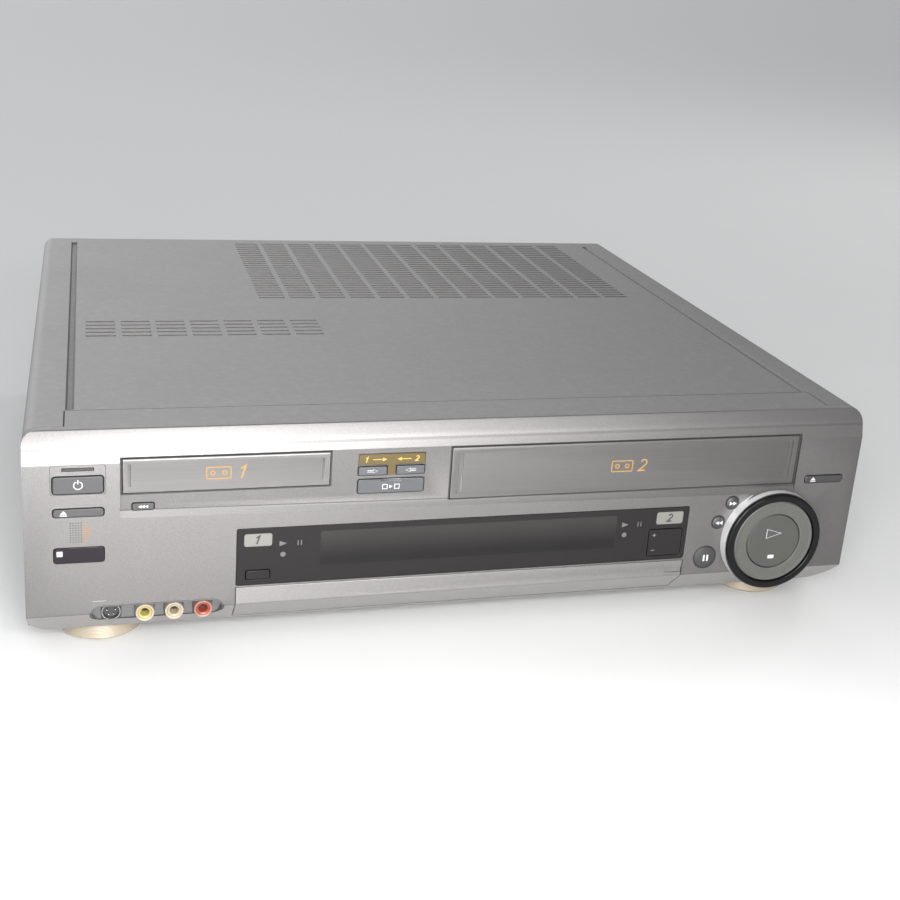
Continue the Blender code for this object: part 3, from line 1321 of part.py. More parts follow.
def deck_back(deck):
    return drum_centre(deck)[1] + deck.drum_radius + DECK_END_MARGIN


def carriage_pins(deck):
    """(y, z) of the front and rear pins on each side of a carriage."""
    z = deck.slot_floor + deck.cassette_height * PIN_HEIGHT_SHARE
    depth = carriage_depth(deck)
    return [(behind(deck.front) + depth * share, z) for share in (FRONT_PIN_SHARE, REAR_PIN_SHARE)]


def pin_slot(start, deck):
    """Outline of the slot that a pin runs in, from its rest place to its loaded place."""
    start = Vector(start)
    end = start + Vector((deck.travel_in, -deck.travel_down))
    radius = PIN_RADIUS + PIN_CLEARANCE
    along = (end - start).normalized() * radius
    across = Vector((-along.y, along.x))
    corners = (start - along - across, end + along - across, end + along + across, start - along + across)
    return rounded([(*corner, radius * DOOR_EDGE_SHARE * 2) for corner in corners])


def deck_chassis(deck):
    """Folded plate: legs down to the tray, and slotted side guides for the carriage."""
    half = deck_half(deck)
    plate_top = deck.plate_z + DECK_SHEET
    top = carriage_roof(deck) + GUIDE_TOP_MARGIN
    inner = half - GUIDE_SHEET
    front = behind(deck.front)
    back = deck_back(deck)
    foot_z = TRAY_TOP + GAP
    name = f"{deck.name}_deck_chassis"
    section = [(u + deck.centre, v) for u, v in (
        (-half, deck.plate_z), (half, deck.plate_z), (half, top), (inner, top), (inner, plate_top),
        (-inner, plate_top), (-inner, top), (-half, top))]
    chassis = prism(name, [section], "Y", front, loaded_back(deck) + DECK_END_MARGIN)
    side = [
        (front, foot_z), (front + LEG_SHEET, foot_z), (front + LEG_SHEET, deck.plate_z),
        (back - LEG_SHEET, deck.plate_z), (back - LEG_SHEET, foot_z), (back, foot_z),
        (back, plate_top), (front, plate_top),
    ]
    join(chassis, prism(f"{name}_legs", [side], "X", deck.centre - half, deck.centre + half))
    slots = [pin_slot(pin, deck) for pin in carriage_pins(deck)]
    reach = half + OVERRUN
    cut(chassis, prism(f"{name}_slots", slots, "X", deck.centre - reach, deck.centre + reach))
    return part(chassis, name, BARE_STEEL)


def carriage(deck):
    """Open basket that holds a cassette by its edges and runs on four pins."""
    outer = carriage_half(deck)
    inner = outer - CARRIAGE_SHEET
    lip = inner - deck.lip
    low = deck.slot_floor - CARRIAGE_SHEET
    roof = carriage_roof(deck)
    section = [(u + deck.centre, v) for u, v in (
        (-outer, low), (-lip, low), (-lip, deck.slot_floor), (-inner, deck.slot_floor),
        (-inner, roof - CARRIAGE_SHEET), (inner, roof - CARRIAGE_SHEET), (inner, deck.slot_floor),
        (lip, deck.slot_floor), (lip, low), (outer, low), (outer, roof), (-outer, roof))]
    front = behind(deck.front)
    name = f"{deck.name}_carriage"
    basket = prism(name, [section], "Y", front, front + carriage_depth(deck))
    pins = [disc(y, z, PIN_RADIUS, PIN_STEPS) for y, z in carriage_pins(deck)]
    for side, sign in (("left", -1), ("right", 1)):
        start = deck.centre + sign * (outer - CARRIAGE_SHEET / 2)
        end = deck.centre + sign * (outer + PIN_REACH)
        join(basket, prism(f"{name}_pins_{side}", [*pins], "X", min(start, end), max(start, end)))
    return part(pivot(basket, (deck.centre, front, deck.slot_floor)), name, BARE_STEEL)


def reel(deck, name, x, y, z):
    """Reel table with a spindle whose three vanes drive the cassette's hub."""
    shoulder = deck.spindle_height * SPINDLE_SHOULDER_SHARE
    rim = deck.reel_table * (1 - REEL_RIM_SHARE)
    stem = deck.spindle_radius * REEL_STEM_SHARE
    profile = [
        (0, deck.spindle_height), (deck.spindle_radius * SPINDLE_TIP_SHARE, deck.spindle_height),
        (deck.spindle_radius, shoulder), (deck.spindle_radius, deck.reel_table),
        (deck.reel_radius, deck.reel_table), (deck.reel_radius, rim), (stem, rim), (stem, 0), (0, 0),
    ]
    table = turned(name, profile, REEL_STEPS, (x, y, z))
    reach = deck.spindle_radius * VANE_REACH_SHARE
    width = deck.spindle_radius * VANE_WIDTH_SHARE
    for number in range(VANES):
        vane = block(f"{name}_vane_{number}", (0, -width / 2, rim),
                     (reach, width / 2, deck.spindle_height * VANE_TOP_SHARE))
        turn = Matrix.Rotation(2 * pi * number / VANES, 4, "Z")
        vane.data.transform(Matrix.Translation((x, y, z)) @ turn)
        join(table, vane)
    return part(pivot(table, (x, y, z)), name, WHITE_PLASTIC)


def deck_mechanism(deck):
    """Reels, head drum and capstan on the deck's plate."""
    floor = deck.plate_z + DECK_SHEET + GAP
    reel_y = behind(deck.front + deck.travel_in) + carriage_depth(deck) * REEL_DEPTH_SHARE
    for name, sign in (("supply", -1), ("takeup", 1)):
        reel(deck, f"{deck.name}_{name}_reel", deck.centre + sign * deck.reel_pitch / 2, reel_y, floor)
    x, y = drum_centre(deck)
    radius, split = deck.drum_radius, deck.drum_split
    step = split * DRUM_HUB_SHARE
    lower = [(0, split), (radius, split), (radius, step), (radius * DRUM_STEP_SHARE, step),
             (radius * DRUM_STEP_SHARE, 0), (0, 0)]
    name = f"{deck.name}_lower_drum"
    part(turned(name, lower, DRUM_STEPS, (x, y, floor)), name, POLISHED_STEEL)
    hub = radius * DRUM_HUB_SHARE
    rise = deck.drum_upper * (1 + DRUM_HUB_RISE_SHARE)
    upper = [(0, rise), (hub, rise), (hub, deck.drum_upper), (radius, deck.drum_upper), (radius, 0), (0, 0)]
    name = f"{deck.name}_upper_drum"
    centre = (x, y, floor + split + GAP)
    part(pivot(turned(name, upper, DRUM_STEPS, centre), centre), name, POLISHED_STEEL)
    shaft = deck.capstan_radius
    collar = shaft * CAPSTAN_COLLAR_SHARE
    ledge = deck.capstan_height * CAPSTAN_COLLAR_HEIGHT_SHARE
    profile = [(0, deck.capstan_height), (shaft, deck.capstan_height), (shaft, ledge), (collar, ledge),
               (collar, 0), (0, 0)]
    name = f"{deck.name}_capstan"
    centre = (x + deck.cassette_width * CAPSTAN_X_SHARE, loaded_back(deck) + deck.drum_space, floor)
    part(pivot(turned(name, profile, PIN_STEPS, centre), centre), name, POLISHED_STEEL)


# Main board and power supply

def main_board_box():
    """Low and high (x, y) of the main board, which lies under the large deck between its legs."""
    half = deck_half(LARGE_DECK) - MAIN_BOARD_MARGIN
    return ((LARGE_DECK.centre - half, behind(LARGE_DECK.front) + MAIN_BOARD_MARGIN),
            (LARGE_DECK.centre + half, deck_back(LARGE_DECK) - MAIN_BOARD_MARGIN))


def main_board():
    low, high = main_board_box()
    under = BASE + TRAY_SHEET / 2 + MAIN_BOARD_LIFT + GAP
    board = block("main_board", (*low, under), (*high, under + BOARD_THICKNESS))
    part(board, "main_board", GREEN_BOARD)


def board_posts():
    (left, front), (right, back) = main_board_box()
    inset = MAIN_BOARD_POST_IN
    return [(x, y) for x in (left + inset, right - inset) for y in (front + inset, back - inset)]


def power_supply():
    """Closed supply housing with pressed ribs along its top."""
    left = from_left(SUPPLY_IN)
    back = REAR_FACE - INLET_DEPTH - SUPPLY_BACK_MARGIN
    low = TRAY_TOP + GAP
    top = low + SUPPLY_HEIGHT
    box = block("power_supply", (left, back - SUPPLY_LENGTH, low), (left + SUPPLY_WIDTH, back, top),
                SUPPLY_ROUNDING)
    pitch = SUPPLY_WIDTH / (SUPPLY_RIBS + 1)
    grooves = [rectangle(left + pitch * (rib + 1) - SUPPLY_RIB_WIDTH / 2,
                         left + pitch * (rib + 1) + SUPPLY_RIB_WIDTH / 2,
                         back - SUPPLY_LENGTH + pitch, back - pitch) for rib in range(SUPPLY_RIBS)]
    cut(box, prism("supply_grooves", grooves, "Z", top - SUPPLY_RIB_DEPTH, top + OVERRUN))
    return part(box, "power_supply", BARE_STEEL)


front_panel()
top_cover()
bottom_tray(board_posts())
rear_panel()
feet()
cassette_doors()
control_flap()
panel_keys()
display()
small_front_pieces()
dial()
front_sockets()
terminal_board()
antenna_block()
mains_inlet()
for each_deck in (LARGE_DECK, SMALL_DECK):
    deck_chassis(each_deck)
    carriage(each_deck)
    deck_mechanism(each_deck)
main_board()
power_supply()
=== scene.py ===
"""Look of the double-deck video cassette recorder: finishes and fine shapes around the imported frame.

Metres, +Z up, and the front faces -Y. Places on the front are given from the left or right edge ("in")
and below the top plane ("drop"). Flat marks are drawn as outlines of (x, z) and stand a little proud.
"""

import json
from math import cos, pi, radians, sin

import bmesh
import bpy
import numpy as np
from mathutils import Matrix, Vector

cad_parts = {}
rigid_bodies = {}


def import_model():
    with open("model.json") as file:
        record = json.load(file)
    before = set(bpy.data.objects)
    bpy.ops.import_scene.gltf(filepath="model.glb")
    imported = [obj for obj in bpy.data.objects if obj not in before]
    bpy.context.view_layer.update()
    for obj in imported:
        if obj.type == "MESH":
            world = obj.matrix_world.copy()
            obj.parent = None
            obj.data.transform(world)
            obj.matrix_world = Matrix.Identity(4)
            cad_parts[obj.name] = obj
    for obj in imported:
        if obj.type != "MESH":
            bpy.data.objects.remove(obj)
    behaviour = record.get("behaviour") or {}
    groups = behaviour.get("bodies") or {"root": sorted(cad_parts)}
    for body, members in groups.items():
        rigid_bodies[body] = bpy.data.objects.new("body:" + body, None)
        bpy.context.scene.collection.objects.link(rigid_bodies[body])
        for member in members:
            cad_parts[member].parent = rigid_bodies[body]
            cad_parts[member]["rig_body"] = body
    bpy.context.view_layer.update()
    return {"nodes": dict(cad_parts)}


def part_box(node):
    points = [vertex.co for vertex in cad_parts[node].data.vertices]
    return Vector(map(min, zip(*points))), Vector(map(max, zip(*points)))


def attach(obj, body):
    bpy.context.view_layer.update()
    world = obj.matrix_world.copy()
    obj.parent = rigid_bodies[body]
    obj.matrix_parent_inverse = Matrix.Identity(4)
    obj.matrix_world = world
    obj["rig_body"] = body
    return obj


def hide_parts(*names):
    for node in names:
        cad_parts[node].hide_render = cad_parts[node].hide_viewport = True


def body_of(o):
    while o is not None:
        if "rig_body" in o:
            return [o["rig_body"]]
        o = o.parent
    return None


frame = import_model()
NODES = frame["nodes"]


def corners(node):
    """Lower and upper corner of a node's box."""
    low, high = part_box(node)
    return Vector(low), Vector(high)


def box_centre(node):
    """Middle of a node's box."""
    low, high = corners(node)
    return (low + high) / 2


def seat(node):
    """Radius and depth of a node turned about y, and the middle of its back, where its profile starts."""
    low, high = corners(node)
    middle = (low + high) / 2
    return (high.x - low.x) / 2, high.y - low.y, (middle.x, high.y, middle.z)


# Planes and edges, read from the frame, and what the panel's form sets in front of and behind its face
COVER_LOW, COVER_HIGH = corners("top_cover")
DOOR_LOW, DOOR_HIGH = corners("large_cassette_door")
HALF = COVER_HIGH.x
TOP = COVER_HIGH.z
BASE = COVER_LOW.z
BACK = COVER_HIGH.y
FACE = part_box("display_window")[0][1]
BAND_SETBACK = 0.0060
ZONE_DEPTH = 0.0018
FRONT = FACE + BAND_SETBACK
ZONE_FLOOR = FACE + ZONE_DEPTH

# How far marks stand out of their surface and reach into it
PROUD = 0.00006
SUNK = 0.00030
WELD = 0.000005
SMOOTH_ANGLE = 32.0
BEVEL_ANGLE = 40.0
FLAT_ANGLE = 0.01


def from_left(distance):
    """X at a distance in from the left edge."""
    return distance - HALF


def from_right(distance):
    """X at a distance in from the right edge."""
    return HALF - distance


def below_top(drop):
    """Z at a drop below the top plane."""
    return TOP - drop


def behind(distance):
    """Y at a distance behind the panel's top front edge."""
    return FRONT + distance


# Shader node groups

COLOUR, NUMBER, VECTOR = "NodeSocketColor", "NodeSocketFloat", "NodeSocketVector"
SURFACE = (("Colour", COLOUR), ("Roughness", NUMBER), ("Normal", VECTOR))
MID_GREY = (0.5, 0.5, 0.5, 1)
DUST = (0.62, 0.60, 0.56, 1)
DUST_FACING = (0.75, 1.0)
DUST_SPECKS = (0.45, 0.75)
# Noise as (scale, detail), and how deep each bump is
PATCHES = (14.0, 4.0)
SPECKS = (260.0, 6.0)
LINES = (2200.0, 3.0)
GLASS_PATCHES = (40.0, 3.0)
SPECKLE_DETAIL = 1.0
LINE_STRETCH = (0.012, 1.0, 1.0)
MOULDED_BUMP = 0.00006
BRUSHED_BUMP = 0.00005
GLASS_BUMP = (0.1, 0.00002)
# Heights between which the display behind its window goes from dark to lighter
FADE_HEIGHTS = (0.0470, 0.0640)


def node_group(name, inputs):
    """A group that puts out a surface, with its input and output sockets; inputs are (name, type, value)."""
    tree = bpy.data.node_groups.new(name, "ShaderNodeTree")
    for label, kind, value in inputs:
        tree.interface.new_socket(label, in_out="INPUT", socket_type=kind).default_value = value
    for label, kind in SURFACE:
        tree.interface.new_socket(label, in_out="OUTPUT", socket_type=kind)
    return tree, tree.nodes.new("NodeGroupInput").outputs, tree.nodes.new("NodeGroupOutput").inputs


def add(tree, kind, given=None, **settings):
    """A new node with its settings; given holds a value or a source socket for each input."""
    node = tree.nodes.new(kind)
    for key, value in settings.items():
        setattr(node, key, value)
    for socket, value in (given or {}).items():
        if isinstance(value, bpy.types.NodeSocket):
            tree.links.new(value, node.inputs[socket])
        else:
            node.inputs[socket].default_value = value
    return node


def noise(tree, place, scale, detail):
    """Value of a noise texture at a place."""
    given = {"Vector": place, "Scale": scale, "Detail": detail}
    return add(tree, "ShaderNodeTexNoise", given).outputs["Fac"]


def reckon(tree, operation, *terms):
    """Result of a math node on numbers and sockets."""
    return add(tree, "ShaderNodeMath", dict(enumerate(terms)), operation=operation).outputs[0]


def spread(tree, value, amount, about=1.0):
    """about + (value - 0.5) * amount, for a value between 0 and 1."""
    return reckon(tree, "MULTIPLY_ADD", reckon(tree, "SUBTRACT", value, 0.5), amount, about)


def ramp(tree, value, limits, **settings):
    """0 below the lower limit and 1 above the upper one."""
    return add(tree, "ShaderNodeMapRange", {0: value, 1: limits[0], 2: limits[1]}, **settings).outputs[0]


def mixed(tree, amount, first, second):
    """A colour between two, at an amount."""
    return add(tree, "ShaderNodeMix", {0: amount, 6: first, 7: second}, data_type="RGBA").outputs[2]


def tinted(tree, colour, tone):
    """A colour times a tone."""
    return add(tree, "ShaderNodeVectorMath", {0: colour, "Scale": tone}, operation="SCALE").outputs[0]


def put_out(tree, result, colour, roughness, height, strength, distance):
    """Hand the colour, the roughness and the bump of a height to the group's outputs."""
    bump = add(tree, "ShaderNodeBump", {"Height": height, "Strength": strength, "Distance": distance})
    for (label, _), source in zip(SURFACE, (colour, roughness, bump.outputs[0])):
        tree.links.new(source, result[label])
    return tree


def moulded_group():
    """Fine speckle, soft patches and dust on what faces up, for paint and moulded plastic.

    Tone = colour * (1 + speckle) * (1 + patches), blended to dust where the normal points up.
    """
    tree, given, result = node_group("moulded_surface", [
        ("Colour", COLOUR, MID_GREY), ("Speckle Scale", NUMBER, 2500.0), ("Speckle", NUMBER, 0.2),
        ("Patches", NUMBER, 0.1), ("Roughness", NUMBER, 0.4), ("Roughness Spread", NUMBER, 0.1),
        ("Bump", NUMBER, 0.1), ("Dust", NUMBER, 0.0)])
    place = add(tree, "ShaderNodeTexCoord").outputs["Object"]
    fine = noise(tree, place, given["Speckle Scale"], SPECKLE_DETAIL)
    soft = noise(tree, place, *PATCHES)
    patched = spread(tree, soft, given["Patches"])
    tone = reckon(tree, "MULTIPLY", spread(tree, fine, given["Speckle"]), patched)
    normal = add(tree, "ShaderNodeNewGeometry").outputs["Normal"]
    upward = ramp(tree, add(tree, "ShaderNodeSeparateXYZ", {0: normal}).outputs["Z"], DUST_FACING)
    settled = reckon(tree, "MULTIPLY", upward, ramp(tree, noise(tree, place, *SPECKS), DUST_SPECKS))
    amount = reckon(tree, "MULTIPLY", settled, given["Dust"])
    colour = mixed(tree, amount, tinted(tree, given["Colour"], tone), DUST)
    rough = reckon(tree, "ADD", spread(tree, soft, given["Roughness Spread"], 0.0), given["Roughness"])
    return put_out(tree, result, colour, rough, fine, given["Bump"], MOULDED_BUMP)


def brushed_group():
    """Fine lines along X: a noise stretched along X tints the colour, the roughness and the normal."""
    tree, given, result = node_group("brushed_surface", [
        ("Colour", COLOUR, MID_GREY), ("Lines", NUMBER, 0.2), ("Roughness", NUMBER, 0.35),
        ("Bump", NUMBER, 0.15)])
    place = add(tree, "ShaderNodeTexCoord").outputs["Object"]
    stretched = add(tree, "ShaderNodeMapping", {"Vector": place, "Scale": LINE_STRETCH}).outputs[0]
    lines = noise(tree, stretched, *LINES)
    tone = spread(tree, lines, given["Lines"])
    rough = reckon(tree, "MULTIPLY", tone, given["Roughness"])
    colour = tinted(tree, given["Colour"], tone)
    return put_out(tree, result, colour, rough, lines, given["Bump"], BRUSHED_BUMP)


def faded_group():
    """A colour that turns to a lower one down the height, with soft patches, for a display behind glass."""
    tree, given, result = node_group("faded_surface", [
        ("Colour", COLOUR, MID_GREY), ("Lower Colour", COLOUR, MID_GREY), ("Roughness", NUMBER, 0.2),
        ("Patches", NUMBER, 0.2)])
    place = add(tree, "ShaderNodeTexCoord").outputs["Object"]
    height = add(tree, "ShaderNodeSeparateXYZ", {0: place}).outputs["Z"]
    share = ramp(tree, height, FADE_HEIGHTS, interpolation_type="SMOOTHSTEP")
    soft = noise(tree, place, *GLASS_PATCHES)
    colour = mixed(tree, share, given["Lower Colour"], given["Colour"])
    tone = spread(tree, soft, given["Patches"])
    return put_out(tree, result, tinted(tree, colour, tone), given["Roughness"], soft, *GLASS_BUMP)


MOULDED = moulded_group()
FADED = faded_group()
BRUSHED = brushed_group()
COAT_ROUGHNESS = 0.08


def finish(name, group, values, metallic=0.0, coat=0.0, gloss=0.5):
    """A Principled material fed by a surface group; its even values sit on the shader itself."""
    material = bpy.data.materials.new(name)
    material.use_nodes = True
    tree = material.node_tree
    shader = tree.nodes["Principled BSDF"].inputs
    given = {key: value if isinstance(value, float) else (*value, 1.0) for key, value in values.items()}
    surface = add(tree, "ShaderNodeGroup", given, node_tree=group).outputs
    for socket, value in (("Metallic", metallic), ("Coat Weight", coat), ("Coat Roughness", COAT_ROUGHNESS),
                          ("Specular IOR Level", gloss)):
        shader[socket].default_value = value
    for source, socket in (("Colour", "Base Color"), ("Roughness", "Roughness"), ("Normal", "Normal")):
        tree.links.new(surface[source], shader[socket])
    return material


def moulded(name, colour, roughness, metallic=0.0, coat=0.0, gloss=0.5, **values):
    """Paint or plastic; values are the group's other sockets, with underscores for spaces."""
    sockets = {key.replace("_", " ").title(): value for key, value in values.items()}
    return finish(name, MOULDED, {"Colour": colour, "Roughness": roughness, **sockets}, metallic, coat, gloss)


def brushed(name, colour, roughness, metallic=0.9, lines=0.2, bump=0.15):
    """A brushed metal finish."""
    values = {"Colour": colour, "Roughness": roughness, "Lines": lines, "Bump": bump}
    return finish(name, BRUSHED, values, metallic)


def faded(name, colour, lower, roughness, gloss=0.5):
    """A finish with one colour high up and a lower colour down below, between FADE_HEIGHTS."""
    return finish(name, FADED, {"Colour": colour, "Lower Colour": lower, "Roughness": roughness}, gloss=gloss)


# Grain that finishes share
COVER_GRAIN = {"speckle": 0.34, "speckle_scale": 1500.0, "patches": 0.08, "bump": 0.12, "dust": 0.06}
PANEL_GRAIN = {"speckle": 0.34, "speckle_scale": 1700.0, "patches": 0.05, "bump": 0.06}
KEY_GRAIN = {"speckle": 0.16, "patches": 0.05}
DIAL_SPECKLE = 2600.0

COVER_PAINT = moulded("cover_paint", (0.204, 0.198, 0.195), 0.46, 0.60, **COVER_GRAIN)
# Darker cover paint for the grooves: painted shade
GROOVE_PAINTED_SHADE = moulded("groove_painted_shade", (0.130, 0.126, 0.124), 0.50, 0.60, **COVER_GRAIN)
PANEL_SILVER = moulded("panel_silver", (0.175, 0.170, 0.168), 0.47, 0.90, **PANEL_GRAIN)
FLAP_SILVER = moulded("flap_silver", (0.265, 0.258, 0.254), 0.48, 0.90, **PANEL_GRAIN)
# Darker panel paint for the step's slope: painted shade
STEP_PAINTED_SHADE = moulded("step_painted_shade", (0.118, 0.115, 0.113), 0.55, 0.85, **PANEL_GRAIN)
# Darker panel paint for the sunk zone's floor: painted shade
ZONE_PAINTED_SHADE = moulded("zone_painted_shade", (0.136, 0.132, 0.130), 0.50, 0.88, **PANEL_GRAIN)
# Lighter panel paint for the lower chamfer: painted reflection of the pale floor
CHAMFER_PAINTED_LIGHT = moulded("chamfer_painted_light", (0.34, 0.331, 0.326), 0.50, 0.85, **PANEL_GRAIN)
CREASE_GREY = moulded("crease_grey", (0.050, 0.049, 0.048), 0.60, speckle=0.10)
KEY_SILVER = moulded("key_silver", (0.074, 0.073, 0.075), 0.48, 0.75, **KEY_GRAIN)
KEY_BLUE_GREY = moulded("key_blue_grey", (0.090, 0.093, 0.099), 0.48, 0.70, **KEY_GRAIN)
DIAL_GREY = moulded("dial_grey", (0.092, 0.092, 0.084), 0.50, 0.40, speckle=0.55, speckle_scale=DIAL_SPECKLE,
                    bump=0.5)
DISC_GREY = moulded("disc_grey", (0.066, 0.067, 0.061), 0.46, 0.40, speckle=0.25, speckle_scale=DIAL_SPECKLE,
                    bump=0.2)
DOOR_METAL = brushed("door_metal", (0.148, 0.144, 0.142), 0.47, 0.90, lines=0.22, bump=0.14)
STEEL_SHEET = brushed("steel_sheet", (0.45, 0.45, 0.44), 0.40, 0.95)
POLISHED_STEEL = brushed("polished_steel", (0.72, 0.72, 0.72), 0.16, 1.0, lines=0.06, bump=0.04)
JACK_METAL = brushed("jack_metal", (0.28, 0.28, 0.28), 0.25, 1.0, lines=0.10, bump=0.05)
POD_METAL = brushed("pod_metal", (0.150, 0.150, 0.152), 0.36, 0.85, lines=0.20, bump=0.10)
IVORY_FOOT = moulded("ivory_foot", (0.270, 0.232, 0.172), 0.45, 0.10, speckle=0.06, patches=0.08)
BLACK_GLOSS = moulded("black_gloss", (0.0045, 0.0045, 0.005), 0.16, gloss=0.20, speckle=0.05, patches=0.10)
WINDOW_BLACK = moulded("window_black", (0.015, 0.014, 0.014), 0.16, gloss=0.12, speckle=0.03, patches=0.08)
TUBE_GREY = faded("tube_grey", (0.026, 0.0245, 0.0240), (0.0110, 0.0105, 0.0105), 0.22, gloss=0.12)
VIOLET_WINDOW = moulded("violet_window", (0.01, 0.0075, 0.0105), 0.16, gloss=0.25, speckle=0.03, patches=0.06)
# Black plastic for real parts, also used for the dark plates of painted shade behind the front sockets
BLACK_PLASTIC_AND_SHADE = moulded("black_plastic_and_shade", (0.028, 0.028, 0.029), 0.52, speckle=0.25, patches=0.15, bump=0.4)
DARK_LAMP = moulded("dark_lamp", (0.030, 0.027, 0.027), 0.30, speckle=0.04)
# Dark for the badge digits' print, and painted shade in the cover's gap, round the round keys, the power key
# and the doors, and in the screws' crosses
SHADE_AND_PRINT_DARK = moulded("shade_and_print_dark", (0.020, 0.020, 0.021), 0.60, speckle=0.10)
WHITE_PRINT = moulded("white_print", (0.42, 0.42, 0.415), 0.60, speckle=0.05)
FAINT_PRINT = moulded("faint_print", (0.085, 0.085, 0.085), 0.40, speckle=0.05)
ORANGE_PRINT = moulded("orange_print", (0.255, 0.145, 0.042), 0.60, speckle=0.06)
LABEL_PRINT = moulded("label_print", (0.36, 0.245, 0.05), 0.60, speckle=0.06)
TAN_PRINT = moulded("tan_print", (0.22, 0.120, 0.035), 0.60, speckle=0.06)
BADGE_GREY = moulded("badge_grey", (0.135, 0.134, 0.122), 0.50, speckle=0.08, patches=0.06)
BROWN_LABEL = moulded("brown_label", (0.064, 0.044, 0.010), 0.42, speckle=0.06)
BOARD_GREEN = moulded("board_green", (0.020, 0.120, 0.045), 0.40, coat=0.2, speckle=0.30, patches=0.3)
YELLOW_JACK = moulded("yellow_jack", (0.30, 0.25, 0.073), 0.45, speckle=0.05)
WHITE_JACK = moulded("white_jack", (0.28, 0.23, 0.155), 0.45, speckle=0.05)
RED_JACK = moulded("red_jack", (0.200, 0.034, 0.020), 0.40, speckle=0.05)
# Pale red for the red jack's collar: partly its plastic, partly a painted highlight on its rounded rim
PINK_COLLAR_HIGHLIGHT = moulded("pink_collar_highlight", (0.230, 0.118, 0.094), 0.45, speckle=0.08)
# Light silver for the boss's side: partly its own finish, partly a painted highlight
BOSS_SILVER_AND_HIGHLIGHT = moulded("boss_silver_and_highlight", (0.56, 0.555, 0.56), 0.42, 0.40, speckle=0.16, patches=0.05, bump=0.05)
SENSOR_GREY = moulded("sensor_grey", (0.075, 0.075, 0.075), 0.60, speckle=0.05)
# Cream for the other jacks' collars: partly their plastic, partly a painted highlight on the rounded rim
CREAM_COLLAR_HIGHLIGHT = moulded("cream_collar_highlight", (0.285, 0.238, 0.185), 0.50, speckle=0.10)


# Meshes

def grid_quads(rows, columns, wrap=False, keep=None):
    """Quads between neighbouring points of a rows by columns grid.

    With wrap, the last column joins the first. A mask of cells keeps only where it is true.
    """
    across = columns if wrap else columns - 1
    row, column = np.meshgrid(np.arange(rows - 1), np.arange(across), indexing="ij")
    if keep is not None:
        row, column = row[keep], column[keep]
    beside = (column + 1) % columns
    corners = (row * columns + column, row * columns + beside, (row + 1) * columns + beside,
               (row + 1) * columns + column)
    return np.stack(corners, -1).reshape(-1, 4)


def quad_mesh(name, points, quads):
    """A mesh from an array of points and an array of quads."""
    mesh = bpy.data.meshes.new(name)
    mesh.vertices.add(len(points))
    mesh.vertices.foreach_set("co", np.asarray(points, dtype=np.float32).ravel())
    mesh.loops.add(quads.size)
    mesh.loops.foreach_set("vertex_index", quads.astype(np.int32).ravel())
    mesh.polygons.add(len(quads))
    mesh.polygons.foreach_set("loop_start", np.arange(0, quads.size, 4, dtype=np.int32))
    mesh.update(calc_edges=True)
    mesh.validate()
    return mesh


def tidy(mesh, recalculate=True, flat_angle=None):
    """Weld doubles, drop flat seams when asked, and turn the faces outwards."""
    form = bmesh.new()
    form.from_mesh(mesh)
    bmesh.ops.remove_doubles(form, verts=form.verts, dist=WELD)
    if flat_angle:
        bmesh.ops.dissolve_limit(form, angle_limit=flat_angle, verts=form.verts, edges=form.edges)
    if recalculate:
        bmesh.ops.recalc_face_normals(form, faces=form.faces)
    form.to_mesh(mesh)
    form.free()
    mesh.shade_smooth()
    mesh.set_sharp_from_angle(angle=radians(SMOOTH_ANGLE))
    return mesh


def piece(name, mesh, material, body="case", stands_for=()):
    """A finished piece that rides on a body, and stands for CAD nodes when they are named."""
    mesh.name = name
    mesh.materials.clear()
    mesh.materials.append(material)
    obj = bpy.data.objects.new(name, mesh)
    bpy.context.scene.collection.objects.link(obj)
    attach(obj, body)
    if stands_for:
        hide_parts(*stands_for)
    return obj


def thickened(mesh, thickness):
    """A copy of an open sheet with its thickness made real inwards, so that its cut edges stay sharp."""
    carrier = bpy.data.objects.new("carrier", mesh)
    bpy.context.scene.collection.objects.link(carrier)
    wall = carrier.modifiers.new("wall", "SOLIDIFY")
    wall.thickness = thickness
    wall.offset = -1
    ready = carrier.evaluated_get(bpy.context.evaluated_depsgraph_get())
    solid = tidy(bpy.data.meshes.new_from_object(ready), recalculate=False)
    bpy.data.objects.remove(carrier)
    return solid


# Turned pieces point along these: (radius across, radius up, along)
TURN_AXES = {
    "UP": (Vector((1, 0, 0)), Vector((0, 1, 0)), Vector((0, 0, 1))),
    "FRONT": (Vector((1, 0, 0)), Vector((0, 0, 1)), Vector((0, -1, 0))),
    "BACK": (Vector((-1, 0, 0)), Vector((0, 0, 1)), Vector((0, 1, 0))),
}


def turned(profile, centre, axis="FRONT", steps=96, closed=False):
    """A profile of (radius, along) turned about an axis through a centre.

    Point = centre + radius * (cos t * across + sin t * up) + along * axis. A closed profile is a loop that
    makes a ring.
    """
    across, up, ahead = (np.array(direction) for direction in TURN_AXES[axis])
    rows = np.array(profile + [profile[0]] if closed else profile, dtype=float)
    turn = np.linspace(0, 2 * pi, steps, endpoint=False)
    spoke = np.cos(turn)[:, None] * across + np.sin(turn)[:, None] * up
    points = np.array(centre) + rows[:, :1, None] * spoke[None] + rows[:, 1, None, None] * ahead
    return tidy(quad_mesh("turned", points.reshape(-1, 3), grid_quads(len(rows), steps, wrap=True)))


